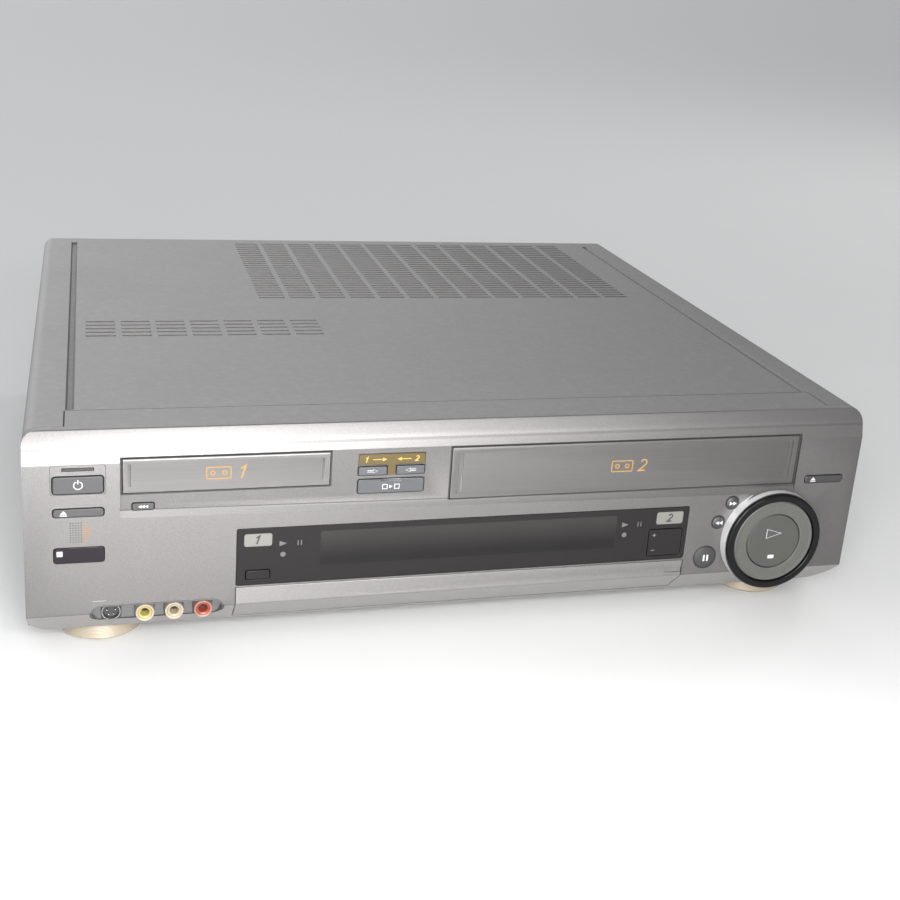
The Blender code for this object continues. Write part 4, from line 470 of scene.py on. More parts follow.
def rounded_profile(corners, steps=5):
    """Profile points through corners of (radius, along, rounding); a rounding of zero keeps it sharp.

    A round corner is (1 - s)^2 * start + 2 s (1 - s) * corner + s^2 * end, for s from 0 to 1.
    """
    share = np.linspace(0, 1, steps)[:, None]
    points = []
    for index, (u, v, rounding) in enumerate(corners):
        here = np.array((u, v))
        if not rounding:
            points.append([here])
            continue
        before = np.array(corners[index - 1][:2]) - here
        after = np.array(corners[(index + 1) % len(corners)][:2]) - here
        start = here + before / np.linalg.norm(before) * rounding
        end = here + after / np.linalg.norm(after) * rounding
        points.append((1 - share) ** 2 * start + 2 * share * (1 - share) * here + share ** 2 * end)
    return np.concatenate(points).tolist()


def turned_ring(bore, rim, crest, place, axis="FRONT", rounding_steps=5, steps=64):
    """A ring whose section runs up its bore, over its crest's (radius, along, rounding) and down its rim."""
    section = rounded_profile([(bore, 0, 0), *crest, (rim, 0, 0)], rounding_steps)
    return turned(section, place, axis, steps, closed=True)


def crest_of(rim, depth, corners_in):
    """Corners given in from a rim and below a depth, with their rounding, as (radius, along, rounding)."""
    return [(rim - inset, depth - drop, rounding) for inset, drop, rounding in corners_in]


def softened(node, material, bevel=0.0002, segments=2):
    """A welded copy of a CAD node with its sharp edges rounded, which stands for the node."""
    mesh = tidy(NODES[node].data.copy(), recalculate=False, flat_angle=FLAT_ANGLE)
    obj = piece(node + "_shell", mesh, material, body_of(NODES[node])[0], (node,))
    edge = obj.modifiers.new("edge", "BEVEL")
    edge.width = bevel
    edge.segments = segments
    edge.limit_method = "ANGLE"
    edge.angle_limit = radians(BEVEL_ANGLE)
    return obj


# Outlines of (x, z), drawn about the origin

def moved(outline, x, z):
    """An outline moved to a place."""
    return np.asarray(outline, dtype=float) + (x, z)


def rounded_box(width, height, radius=0.0, steps=5):
    """Rectangle about the origin with quarter-circle corners."""
    if not radius:
        return np.array([(-1, -1), (1, -1), (1, 1), (-1, 1)]) * (width / 2, height / 2)
    turn = np.linspace(0, pi / 2, steps)
    quarter = np.stack((np.cos(turn), np.sin(turn)), -1) * radius
    across, up = width / 2 - radius, height / 2 - radius
    corners = []
    for quadrant, (u, v) in enumerate(((1, 1), (-1, 1), (-1, -1), (1, -1))):
        angle = quadrant * pi / 2
        turned_quarter = quarter @ np.array([(cos(angle), sin(angle)), (-sin(angle), cos(angle))])
        corners.append(turned_quarter + (u * across, v * up))
    return np.concatenate(corners)


def round_outline(radius, steps=24):
    """Circle: (radius cos t, radius sin t)."""
    turn = np.linspace(0, 2 * pi, steps, endpoint=False)
    return np.stack((np.cos(turn), np.sin(turn)), -1) * radius


def pointer(width, height, way=1):
    """Solid triangle that points right, or left when the way is -1."""
    return np.array([(-way * width / 2, -height / 2), (way * width / 2, 0), (-way * width / 2, height / 2)])


def up_pointer(width, height):
    """Solid triangle that points up."""
    return np.array([(-width / 2, -height / 2), (width / 2, -height / 2), (0, height / 2)])


def stroke(path, width):
    """Closed outline of a line of even width along a path: each point moved along its mitre both ways."""
    points = np.asarray(path, dtype=float)
    step = np.diff(points, axis=0)
    step /= np.linalg.norm(step, axis=1)[:, None]
    normal = np.stack((-step[:, 1], step[:, 0]), -1)
    mitre = np.concatenate((normal[:1], normal[:-1] + normal[1:], normal[-1:]))
    mitre /= np.linalg.norm(mitre, axis=1)[:, None]
    reach = np.ones(len(points))
    reach[1:-1] = 1 / np.einsum("ij,ij->i", mitre[1:-1], normal[1:])
    offset = mitre * reach[:, None] * width / 2
    return np.concatenate((points + offset, (points - offset)[::-1]))


def digit_one(height, width):
    """Upright stroke with a flag, leaning a little like the legends on the doors."""
    lean = height * 0.16
    return [stroke([(-height * 0.22, height * 0.26), (lean, height / 2), (-lean, -height / 2)], width)]


def digit_two(height, width):
    """Bow over the top, a slanted neck and a flat base, in one stroke."""
    bow = np.linspace(pi * 0.92, -pi * 0.25, 9)
    radius = height * 0.24
    top = np.stack((np.cos(bow) * radius, np.sin(bow) * radius), -1) + (height * 0.08, height * 0.26)
    base = [(-height * 0.33, -height * 0.44), (height * 0.22, -height * 0.44)]
    return [stroke(np.concatenate((top, base)), width)]


def arrow(length, width, head, way=1):
    """Line with a solid head, pointing right, or left when the way is -1."""
    tail = way * (length - head) / 2
    shaft = moved(rounded_box(length - head, width), -way * head / 2, 0)
    return [shaft, moved(pointer(head, head * 0.9, way), tail, 0)]


def plates(name, outlines, bands, near, far):
    """Closed plates between the planes y = near and y = far; a band is a pair of loops with room between.

    A plate is its outline laid in both planes, with a face on each and quads between them. A band is quads
    round its section: outer and inner loop at near, inner and outer loop at far, and the first once more.
    """
    sections = [((outline, near), (outline, far)) for outline in outlines]
    sections += [((outer, near), (inner, near), (inner, far), (outer, far), (outer, near))
                 for outer, inner in bands]
    points, faces, first = [], [], 0
    for section in sections:
        rows = np.stack([np.insert(np.asarray(loop, dtype=float), 1, y, axis=1) for loop, y in section])
        count = rows.shape[1]
        if len(section) == 2:
            ends = first + np.arange(2 * count).reshape(2, count)
            faces += [ends[0].tolist(), ends[1, ::-1].tolist()]
        faces += (first + grid_quads(len(rows), count, wrap=True)).tolist()
        points.append(rows.reshape(-1, 3))
        first += len(rows) * count
    mesh = bpy.data.meshes.new(name)
    mesh.from_pydata(np.concatenate(points), [], faces)
    return tidy(mesh)


def flat_marks(name, outlines, surface, material, body="case", bands=(), sunk=SUNK):
    """Plates on a front surface, that stand PROUD out of it and reach into it."""
    return piece(name, plates(name, outlines, bands, surface - PROUD, surface + sunk), material, body)


# Metal cover

VENT_LENGTH = 0.0162
VENT_WIDTH = 0.0030
VENT_PITCH = 0.0196
# Groups of vents: where the first slot starts along x, columns, front and back of the group, rows
VENTS = (
    (from_right(0.2962), 13, 0.2174, 0.3650, 26),
    (from_left(0.0281), 7, 0.1400, 0.1700, 5),
)
COVER_SHEET = 0.0010
COVER_RADIUS = 0.0060
GROOVE_IN = 0.0187
GROOVE_WIDTH = 0.0041
GROOVE_DEPTH = 0.0011
GROOVE_SLANT = 0.0009
GROOVE_FRONT = 0.0256
GROOVE_BACK = 0.3640
NOTCH_BACK = 0.0254
NOTCH_GAP = 0.0007
CREASE = BASE + 0.0150
CHAMFER_SLOPE = 0.0148 / 0.0150
CORNER_SETBACK = 0.0052
COVER_HEM = 0.0040
GRID_DIGITS = 7


def vent_spans(first, count, pitch, width):
    """Start and end of each slot along one axis."""
    starts = first + pitch * np.arange(count)
    return np.stack((starts, starts + width), -1)


def inside_spans(middles, spans):
    """True where a middle lies inside any of the spans."""
    return ((middles[:, None] > spans[:, 0]) & (middles[:, None] < spans[:, 1])).any(1)


def stations(*lists):
    """Sorted places from several lists, each place once."""
    return np.unique(np.round(np.concatenate([np.ravel(places) for places in lists]), GRID_DIGITS))


def cover_sheet():
    """Bent sheet: a section of (x, z) carried along y, with the slots' cells and the front notch left out.

    The grooves lower z by GROOVE_DEPTH between their ends, and the two lower front corners are cut back
    along the panel's chamfer.
    """
    vents_x = [vent_spans(first, columns, VENT_PITCH, VENT_LENGTH) for first, columns, *_ in VENTS]
    vents_y = [vent_spans(behind(front), rows, (back - front - VENT_WIDTH) / (rows - 1), VENT_WIDTH)
               for *_, front, back, rows in VENTS]
    groove = GROOVE_IN + np.array((0, GROOVE_SLANT, GROOVE_WIDTH - GROOVE_SLANT, GROOVE_WIDTH))
    groove_y = behind(np.array((GROOVE_FRONT, GROOVE_FRONT + GROOVE_SLANT, GROOVE_BACK - GROOVE_SLANT,
                                GROOVE_BACK)))
    notch = HALF - GROOVE_IN + NOTCH_GAP
    turn = np.linspace(0, pi / 2, 9)
    arc = np.stack((-HALF + COVER_RADIUS * (1 - np.cos(turn)), TOP - COVER_RADIUS * (1 - np.sin(turn))), -1)
    left = np.concatenate(([(-HALF, BASE), (-HALF, BASE + COVER_HEM), (-HALF, CREASE)], arc))
    flat = stations((-notch, notch), from_left(groove), from_right(groove), *vents_x)
    top = np.stack((flat, np.full(len(flat), TOP)), -1)
    section = np.concatenate((left, top, left[::-1] * (-1, 1)))
    depth = stations((COVER_LOW.y, behind(NOTCH_BACK), BACK), groove_y, *vents_y)
    in_from_edge = HALF - GROOVE_IN - np.abs(section[:, 0])
    lowered = (in_from_edge > GROOVE_SLANT / 2) & (in_from_edge < GROOVE_WIDTH - GROOVE_SLANT / 2) & (
        section[:, 1] > TOP - WELD)
    pressed = (depth > groove_y[0] + WELD) & (depth < groove_y[3] - WELD)
    y, x = np.meshgrid(depth, section[:, 0], indexing="ij")
    z = np.broadcast_to(section[:, 1], y.shape) - GROOVE_DEPTH * (pressed[:, None] & lowered[None, :])
    y[0] = np.maximum(y[0], FACE + CORNER_SETBACK + CHAMFER_SLOPE * (CREASE - z[0]))
    middle_x = (section[1:, 0] + section[:-1, 0]) / 2
    middle_y = (depth[1:] + depth[:-1]) / 2
    on_top = section[:-1, 1] + section[1:, 1] > 2 * TOP - WELD
    open_cells = np.outer(middle_y < behind(NOTCH_BACK), np.abs(middle_x) < notch)
    for span_x, span_y in zip(vents_x, vents_y):
        open_cells |= np.outer(inside_spans(middle_y, span_y), inside_spans(middle_x, span_x) & on_top)
    quads = grid_quads(len(depth), len(section), keep=~open_cells)
    points = np.stack((x, y, z), -1).reshape(-1, 3)
    sheet = tidy(quad_mesh("cover", points, quads), recalculate=False)
    return piece("cover_sheet", thickened(sheet, COVER_SHEET), COVER_PAINT, stands_for=("top_cover",))


COVER = cover_sheet()

# Dark strip of painted shade in the gap round the panel's tongue: front and back, low and high, and reach
# under its sides
GAP_SHADE_BEHIND = (0.0240, 0.0260)
GAP_SHADE_BELOW = (0.0016, 0.0007)
GAP_SHADE_REACH = 0.0003


def gap_shade_strip():
    """A flat dark strip of painted shade carried round the notch in four mitred stations, closed to a point
    at each end.
    """
    inner = HALF - GROOVE_IN - GAP_SHADE_REACH
    outer = inner + NOTCH_GAP + 2 * GAP_SHADE_REACH
    front = COVER_LOW.y + GAP_SHADE_REACH
    near, far = (behind(depth) for depth in GAP_SHADE_BEHIND)
    low, high = (below_top(drop) for drop in GAP_SHADE_BELOW)
    half = [((inner, front), (outer, front)), ((inner, near), (outer, far))]
    pairs = [[(-x, y) for x, y in pair] for pair in half] + half[::-1]
    rows = np.array([[(*a, low), (*a, high), (*b, high), (*b, low)] for a, b in pairs])
    ends = [np.tile(row.mean(0), (len(row), 1)) for row in (rows[0], rows[-1])]
    points = np.concatenate((ends[0], *rows, ends[1]))
    return tidy(quad_mesh("gap_shade", points, grid_quads(len(rows) + 2, len(rows[0]), wrap=True)))


# The strip is painted shade in the gap
piece("cover_gap_shade", gap_shade_strip(), SHADE_AND_PRINT_DARK)


# Panel, doors, keys and windows: copies of the CAD solids with softened edges

SHELLS = (
    (PANEL_SILVER, ("front_panel",)),
    (FLAP_SILVER, ("control_flap",)),
    (DOOR_METAL, ("large_cassette_door", "small_cassette_door")),
    (KEY_SILVER, ("power_button", "left_eject_button", "right_eject_button", "quick_rewind_button")),
    (KEY_BLUE_GREY, ("dub_to_large_button", "dub_to_small_button", "dubbing_start_button")),
    (BROWN_LABEL, ("dubbing_label",)),
    (WINDOW_BLACK, ("display_window", "audio_select_button", "channel_rocker")),
    (VIOLET_WINDOW, ("infrared_window",)),
    (DARK_LAMP, ("power_lamp",)),
    (KEY_SILVER, ("record_button", "timer_button", "input_button", "speed_button")),
)
SHELL_BEVEL = 0.00025
OTHER_BEVELS = {"power_button": 0.00045, "left_eject_button": 0.00035, "right_eject_button": 0.00035,
                "dubbing_label": 0.00010, "display_window": 0.00015, "infrared_window": 0.00020,
                "power_lamp": 0.00010}
SHELL_PIECES = {node: softened(node, paint, OTHER_BEVELS.get(node, SHELL_BEVEL))
                for paint, nodes in SHELLS for node in nodes}


def repaint(obj, material, chosen):
    """Give a second paint to the faces that a test of their centres and normals chooses."""
    faces = obj.data.polygons
    centres, normals = np.empty(len(faces) * 3), np.empty(len(faces) * 3)
    index = np.empty(len(faces), dtype=np.int32)
    faces.foreach_get("center", centres)
    faces.foreach_get("normal", normals)
    faces.foreach_get("material_index", index)
    obj.data.materials.append(material)
    index[chosen(centres.reshape(-1, 3), normals.reshape(-1, 3))] = len(obj.data.materials) - 1
    faces.foreach_set("material_index", index)


UPWARD = 0.95
DOWNWARD = -0.30
PANEL_TOP_DEPTH = 0.0005
BOSS_REACH = (0.0270, 0.0290)
BOSS_CLEAR = 0.0002
STEP_NORMAL = (0.30, 0.80)
STEP_DROP = (0.020, 0.060)
GROOVE_UP = 0.30
ZONE_EDGE = 0.0003
DIAL = box_centre("dial_bezel_ring")


def between(values, low, high):
    """True where a value lies between two limits."""
    return (values > low) & (values < high)


def in_groove(centres, normals):
    """The floor and walls of the two long grooves in the cover, which get a darker paint as painted shade."""
    across = HALF - GROOVE_IN - np.abs(centres[:, 0])
    return between(across, 0, GROOVE_WIDTH) & (normals[:, 2] > GROOVE_UP) & between(
        centres[:, 2], TOP - GROOVE_DEPTH - PROUD, TOP - PROUD)


def on_tongue(centres, normals):
    """The top face of the tongue that the cover's notch takes in."""
    return (normals[:, 2] > UPWARD) & (centres[:, 2] > TOP - PANEL_TOP_DEPTH)


def on_chamfer(centres, normals):
    """The lower chamfer, which faces down to the pale floor; its lighter paint is a painted reflection of the
    floor.
    """
    return (normals[:, 2] < DOWNWARD) & (normals[:, 1] < DOWNWARD) & (centres[:, 2] < CREASE)


def on_zone(centres, normals):
    """The floor of the sunk zone round the doors, which gets a darker paint as painted shade."""
    return (normals[:, 1] < -UPWARD) & (np.abs(centres[:, 1] - ZONE_FLOOR) < ZONE_EDGE)


def on_step(centres, normals):
    """The slope under the doors, where the panel steps back to its face; its darker paint is painted shade
    that tones down its highlight.
    """
    return between(normals[:, 2], *STEP_NORMAL) & between(TOP - centres[:, 2], *STEP_DROP)


def on_boss_side(centres, normals):
    """The turned side of the boss that carries the dial; its light silver is partly the boss's own finish and
    partly a painted highlight.
    """
    reach = np.hypot(centres[:, 0] - DIAL.x, centres[:, 2] - DIAL.z)
    sideways = np.abs(normals[:, 1]) < UPWARD
    return between(reach, *BOSS_REACH) & (centres[:, 1] < FACE - BOSS_CLEAR) & sideways


PANEL, FLAP = SHELL_PIECES["front_panel"], SHELL_PIECES["control_flap"]
# Second paints: painted shade in the cover's grooves, on the sunk zone and on the step, a painted reflection
# of the floor on the chamfers, a light boss side that is partly a painted highlight; the tongue takes the
# cover's paint
for obj, paint, chosen in ((COVER, GROOVE_PAINTED_SHADE, in_groove), (PANEL, COVER_PAINT, on_tongue),
                           (PANEL, CHAMFER_PAINTED_LIGHT, on_chamfer), (FLAP, CHAMFER_PAINTED_LIGHT, on_chamfer),
                           (PANEL, ZONE_PAINTED_SHADE, on_zone), (PANEL, STEP_PAINTED_SHADE, on_step),
                           (PANEL, BOSS_SILVER_AND_HIGHLIGHT, on_boss_side)):
    repaint(obj, paint, chosen)

# Solids that keep their own shape and get a finish
FINISHES = {
    STEEL_SHEET: ("bottom_chassis", "large_deck_chassis", "small_deck_chassis", "large_carriage",
                  "small_carriage", "power_supply", "antenna_block"),
    POLISHED_STEEL: ("large_lower_drum", "small_lower_drum", "large_upper_drum", "small_upper_drum",
                     "large_capstan", "small_capstan"),
    BLACK_PLASTIC_AND_SHADE: ("mains_inlet", "rear_terminal_board", "large_supply_reel", "large_takeup_reel",
                    "small_supply_reel", "small_takeup_reel"),
    BOARD_GREEN: ("main_board", "display_board"),
    COVER_PAINT: ("rear_panel",),
    POD_METAL: ("jack_holder",),
}
for material, names in FINISHES.items():
    for name in names:
        NODES[name].data.materials.clear()
        NODES[name].data.materials.append(material)


# Dial: black ring, shuttle ring and disc

DIAL_STEPS = 128
BEZEL_BORE = 0.0236
BEZEL_ROUNDS = (0.0007, 0.0012)
RING_BORE = 0.0158
FINGER_RISE = 0.0004
BORE_ROUND = 0.0005
# Corners in from a rim, below a front and their rounding; a disc's and a cap's have none
FINGER_RIM = ((0.0022, FINGER_RISE, 0.0008), (0.0006, 0, 0.0004), (0, 0.0008, 0.0003))
DISC_RIM = ((0, 0.0005), (0.0003, 0.0001))
DISC_DISH = 0.0004

rim, depth, place = seat("dial_bezel_ring")
piece("dial_black_ring", turned_ring(
    BEZEL_BORE, rim, [(BEZEL_BORE, depth, BEZEL_ROUNDS[0]), (rim, depth, BEZEL_ROUNDS[1])], place,
    rounding_steps=7, steps=DIAL_STEPS), BLACK_GLOSS, stands_for=("dial_bezel_ring",))

rim, depth, place = seat("shuttle_ring")
crest = [(RING_BORE, depth - FINGER_RISE, BORE_ROUND)] + crest_of(rim, depth, FINGER_RIM)
piece("shuttle_ring_face", turned_ring(RING_BORE, rim, crest, place, rounding_steps=6, steps=DIAL_STEPS),
      DIAL_GREY, "shuttle_ring", ("shuttle_ring",))

rim, depth, place = seat("play_stop_button")
dish = [(rim * share, depth - DISC_DISH * (1 - share ** 2)) for share in np.linspace(0.95, 0, 8)]
edge = [(rim - inset, depth - drop) for inset, drop in DISC_RIM]
piece("play_stop_disc", turned([(0, 0), (rim, 0)] + edge + dish, place), DISC_GREY, "play_stop_button",
      ("play_stop_button",))


# Round keys: a domed cap in a dark ring of painted shade

KEY_SHADE_REACH = 0.0006
CAP_DOME = 0.0009
CAP_EDGE = 0.00135

for node in ("fast_forward_button", "rewind_button", "pause_button"):
    radius, depth, place = seat(node)
    dome = [(radius * share, depth - CAP_DOME * share ** 2) for share in np.linspace(0.93, 0, 8)]
    piece(node + "_cap", turned([(0, 0), (radius, 0), (radius, depth - CAP_EDGE)] + dome, place, steps=64),
          KEY_SILVER, node, (node,))
    # A dark ring of painted shade round the cap, for the shade in its gap
    loops = [moved(round_outline(radius + reach, 48), place[0], place[2]) for reach in (KEY_SHADE_REACH, PROUD)]
    flat_marks(node + "_painted_shade", [], FACE, SHADE_AND_PRINT_DARK, bands=[loops])


# Feet: turned shells with fine ridges round the band

FOOT_BAND = (0.0094, 0.0024)
FOOT_RIDGES = 9
FOOT_RIDGE_DEPTH = 0.0002
# Corners over the band, in from the rim and below the top, and under it, in from the rim and above the floor
FOOT_SHOULDER = ((0.0030, 0), (0.0018, 0.0010))
FOOT_SOLE = ((0.0012, 0.0014), (0.0030, 0.0004), (0.0034, 0))

for corner in ("front_left", "front_right", "rear_left", "rear_right"):
    node = "foot_" + corner
    rim, _, (x, _, _) = seat(node)
    top = corners(node)[1].z
    band = np.linspace(*FOOT_BAND, FOOT_RIDGES * 4 + 1)
    ridged = rim - FOOT_RIDGE_DEPTH * (1 - np.cos(np.linspace(0, 2 * pi * FOOT_RIDGES, len(band)))) / 2
    profile = [(0, top)] + [(rim - inset, top - drop) for inset, drop in FOOT_SHOULDER]
    profile += list(zip(ridged, band)) + [(rim - inset, height) for inset, height in FOOT_SOLE] + [(0, 0)]
    piece(node + "_turned", turned(profile, (x, box_centre(node).y, 0), "UP", steps=120), IVORY_FOOT,
          stands_for=(node,))


# Front sockets

# Each jack's ring colour and its collar's paler tint, which is partly the collar's plastic and partly a
# painted highlight on its rim
JACK_PARTS = {"video_jack": (YELLOW_JACK, CREAM_COLLAR_HIGHLIGHT), "audio_jack_left": (WHITE_JACK, CREAM_COLLAR_HIGHLIGHT),
              "audio_jack_right": (RED_JACK, PINK_COLLAR_HIGHLIGHT)}
COLLAR_CREST = ((0.0011, 0.0004, 0.0003), (0.0002, 0, 0.0003), (0, 0.0004, 0.0002))
LINER_IN = 0.0012
JACK_THROAT = (0.0021, 0.0009, 0.0003)
LINER_LIP = (0.0003, 0.0004)
JACK_CONTACT = 0.0017
CONTACT_ROOM = 0.0001
JACK_HOLE = 0.0010
HOLE_FLOOR = 0.0010
JACK_WELL = 0.0050
SHADE_PLATE_SIDE = 0.0096
SHADE_PLATE_ROUND = 0.0006
HOLDER_THICKNESS = 0.0024

for node, (colour, collar) in JACK_PARTS.items():
    rim, depth, place = seat(node)
    crest = crest_of(rim, depth, COLLAR_CREST)
    piece(node + "_collar", turned_ring(crest[0][0], rim, crest, place), collar)
    throat, sunk, rounding = JACK_THROAT
    crest = [(JACK_CONTACT, depth - JACK_WELL, 0), (throat, depth - sunk, rounding),
             (rim - LINER_IN, depth - LINER_LIP[0], LINER_LIP[1])]
    piece(node + "_ring", turned_ring(JACK_CONTACT, rim - LINER_IN, crest, place), colour, stands_for=(node,))
    contact = JACK_CONTACT - CONTACT_ROOM
    piece(node + "_contact", turned([
        (0, 0), (contact, 0), (contact, depth - JACK_WELL), (JACK_HOLE, depth - JACK_WELL),
        (JACK_HOLE, HOLE_FLOOR), (0, HOLE_FLOOR)], place, steps=32), BLACK_PLASTIC_AND_SHADE)

# Dark square plates of painted shade on the pod's floor behind each socket, for the shadowed recess round it
for node in (*JACK_PARTS, "s_video_socket"):
    middle = box_centre(node)
    flat_marks(node + "_painted_shade", [moved(rounded_box(SHADE_PLATE_SIDE, SHADE_PLATE_SIDE, SHADE_PLATE_ROUND), middle.x, middle.z)],
               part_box("jack_holder")[1][1] - HOLDER_THICKNESS, BLACK_PLASTIC_AND_SHADE)

S_WALL = 0.0007
S_ROUND = 0.0002
S_CORE_IN = 0.0008
S_WELL = 0.0034
S_PIN_PLACES = ((-0.0019, 0.0004), (0.0019, 0.0004), (-0.0012, -0.0018), (0.0012, -0.0018))
S_PIN = (0.0003, 0.0008, 0.0010)
S_BLOCK = (0.0026, 0.0012)
S_BLOCK_RISE = 0.0022
S_BLOCK_LENGTH = 0.0024

rim, depth, place = seat("s_video_socket")
floor_at = depth - S_WELL
crest = [(rim - S_WALL, depth, S_ROUND), (rim, depth, S_ROUND)]
piece("s_video_shell", turned_ring(rim - S_WALL, rim, crest, place, rounding_steps=4), JACK_METAL,
      stands_for=("s_video_socket",))
core = rim - S_CORE_IN
piece("s_video_core", turned([(0, 0), (core, 0), (core, floor_at), (0, floor_at)], place, steps=48),
      BLACK_PLASTIC_AND_SHADE)
radius, tip, taper = S_PIN
pin = [(0, floor_at), (radius, floor_at), (radius, depth - taper), (0, depth - tip)]
for number, (x, z) in enumerate(S_PIN_PLACES):
    spot = (place[0] + x, place[1], place[2] + z)
    piece(f"s_video_pin_{number}", turned(pin, spot, steps=12), JACK_METAL)
key = moved(rounded_box(*S_BLOCK, S_ROUND), place[0], place[2] + S_BLOCK_RISE)
flat_marks("s_video_key", [key], place[1] - floor_at - S_BLOCK_LENGTH, BLACK_PLASTIC_AND_SHADE, sunk=S_BLOCK_LENGTH)


# Marks printed on the panel

def on_front(outlines, in_left, drop):
    """Outlines moved to a place on the front, given from the left edge and below the top."""
    return [moved(outline, from_left(in_left), below_top(drop)) for outline in outlines]


def pointer_row(size, way, count):
    """A row of solid triangles that point one way, each touching the next."""
    first = -(count - 1) / 2
    return [moved(pointer(size, size * 1.05, way), (first + index) * size, 0) for index in range(count)]


def band_of(outline, width):
    """A loop and the same loop drawn in, which make an outline mark of about that width."""
    centre = outline.mean(0)
    reach = np.abs(outline - centre).max()
    return outline, centre + (outline - centre) * (1 - width / reach)


ARROW_DOTS = 9
ARROW_PITCH = 0.0012
ARROW_DOT = 0.00080
ARROW_PLACE = (0.0206, 0.0486)
ARROW_HEAD = 5
ARROW_SLOPE = 0.7

dots = {True: [], False: []}
for row in range(ARROW_DOTS):
    off = row - ARROW_DOTS // 2
    for column in range(ARROW_DOTS):
        if column <= ARROW_DOTS - 1 - abs(off) * ARROW_SLOPE:
            dot = moved(rounded_box(ARROW_DOT, ARROW_DOT, ARROW_DOT / 3, 3), column * ARROW_PITCH,
                        off * ARROW_PITCH)
            dots[column >= ARROW_HEAD].append(dot)
flat_marks("sensor_arrow_head", on_front(dots[True], *ARROW_PLACE), FACE, TAN_PRINT)
flat_marks("sensor_arrow_tail", on_front(dots[False], *ARROW_PLACE), FACE, SENSOR_GREY)

POWER_FRAME = (0.0246, 0.0146, 0.0010)
POWER_FRAME_PLACE = (0.0243, 0.0224)
POWER_FRAME_LINE = 0.00022
SOCKET_LINE = (0.0060, 0.00016)
SOCKET_LINE_PLACE = (0.0330, 0.0846)

# A dark outline of painted shade along the edge of the power key's surround recess
frame_outline = on_front([rounded_box(*POWER_FRAME)], *POWER_FRAME_PLACE)[0]
flat_marks("power_key_frame_shade", [], FACE, SHADE_AND_PRINT_DARK, bands=[band_of(frame_outline, POWER_FRAME_LINE)])
flat_marks("socket_line", on_front([rounded_box(*SOCKET_LINE)], *SOCKET_LINE_PLACE), FACE, WHITE_PRINT)

# Dark band of painted shade on the zone's floor just outside each door's opening, for the shade in its gap:
# its reach inside and outside
DOOR_SHADE_REACH = (0.00104, 0.00034)
DOOR_SHADE_ROUND = 0.0004

for node in ("small_cassette_door", "large_cassette_door"):
    low, high = corners(node)
    size, middle = high - low, box_centre(node)
    loops = [moved(rounded_box(size.x + 2 * reach, size.z + 2 * reach, DOOR_SHADE_ROUND, 3), middle.x, middle.z)
             for reach in DOOR_SHADE_REACH]
    flat_marks(node + "_shade_band", [], ZONE_FLOOR, SHADE_AND_PRINT_DARK, bands=[loops])

# Shadow line at the sunk zone's foot, broken at the rewind key and the large door
ZONE_REACH = 0.0013
ZONE_LOW = (0.0391, 0.0426)
ZONE_LINE = 0.00045
LINE_ROOM = 0.0003

zone_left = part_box("small_cassette_door")[0][0] - ZONE_REACH
zone_right = DOOR_HIGH.x + ZONE_REACH
rewind_low, rewind_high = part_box("quick_rewind_button")


def zone_foot(x):
    """Point on the slanting lower edge of the sunk zone."""
    share = (x - zone_left) / (zone_right - zone_left)
    return x, below_top(ZONE_LOW[0] + share * (ZONE_LOW[1] - ZONE_LOW[0]))


flat_marks("zone_edge", [
    stroke([(zone_left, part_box("small_cassette_door")[0][2]), zone_foot(zone_left),
            zone_foot(rewind_low[0] - LINE_ROOM)], ZONE_LINE),
    stroke([zone_foot(rewind_high[0] + LINE_ROOM), zone_foot(DOOR_LOW.x - LINE_ROOM)], ZONE_LINE),
], ZONE_FLOOR, CREASE_GREY)

SENSOR_SQUARE = 0.0026
SENSOR_SQUARE_RISE = 0.0010
sensor_low, sensor_middle = corners("infrared_window")[0], box_centre("infrared_window")
flat_marks("sensor_square", [moved(rounded_box(SENSOR_SQUARE, SENSOR_SQUARE), sensor_low.x + SENSOR_SQUARE,
                                   sensor_middle.z + SENSOR_SQUARE_RISE)], sensor_low.y, WHITE_PRINT)


# Marks on keys, doors and the dial

def key_mark(node, outlines, material=WHITE_PRINT, bands=(), shift=(0.0, 0.0), lift=0.0, suffix="_mark"):
    """Marks centred on a key's front, which ride on the key's body."""
    middle = box_centre(node)
    place = (middle.x + shift[0], middle.z + shift[1])
    body = body_of(NODES[node])[0]
    return flat_marks(node + suffix, [moved(outline, *place) for outline in outlines],
                      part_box(node)[0][1] + lift, material, body,
                      bands=[(moved(outer, *place), moved(inner, *place)) for outer, inner in bands])


EJECT_WIDTH = 0.0032
EJECT_HEIGHT = 0.0019
EJECT_BAR = 0.00040
EJECT_SHIFT = -0.0066

eject = [moved(up_pointer(EJECT_WIDTH, EJECT_HEIGHT), 0, EJECT_BAR),
         moved(rounded_box(EJECT_WIDTH, EJECT_BAR), 0, -EJECT_HEIGHT / 2 - EJECT_BAR / 2)]
for node in ("left_eject_button", "right_eject_button"):
    key_mark(node, eject, shift=(EJECT_SHIFT, 0))

POWER_RING = 0.0019
POWER_LINE = 0.00045
power_turn = np.linspace(pi * 0.62, pi * 2.38, 25)
power_arc = np.stack((np.cos(power_turn), np.sin(power_turn)), -1) * POWER_RING
key_mark("power_button", [stroke(power_arc, POWER_LINE),
                          moved(rounded_box(POWER_LINE, POWER_RING * 1.1), 0, POWER_RING * 0.9)])

# Pointers on the winding keys: size, way and count
WINDING = {"quick_rewind_button": (0.0015, -1, 3), "fast_forward_button": (0.0020, 1, 2),
           "rewind_button": (0.0020, -1, 2)}
for node, row in WINDING.items():
    key_mark(node, pointer_row(*row))

PAUSE_BAR = (0.0010, 0.0036)
key_mark("pause_button", [moved(rounded_box(*PAUSE_BAR), side * PAUSE_BAR[0], 0) for side in (-1, 1)])

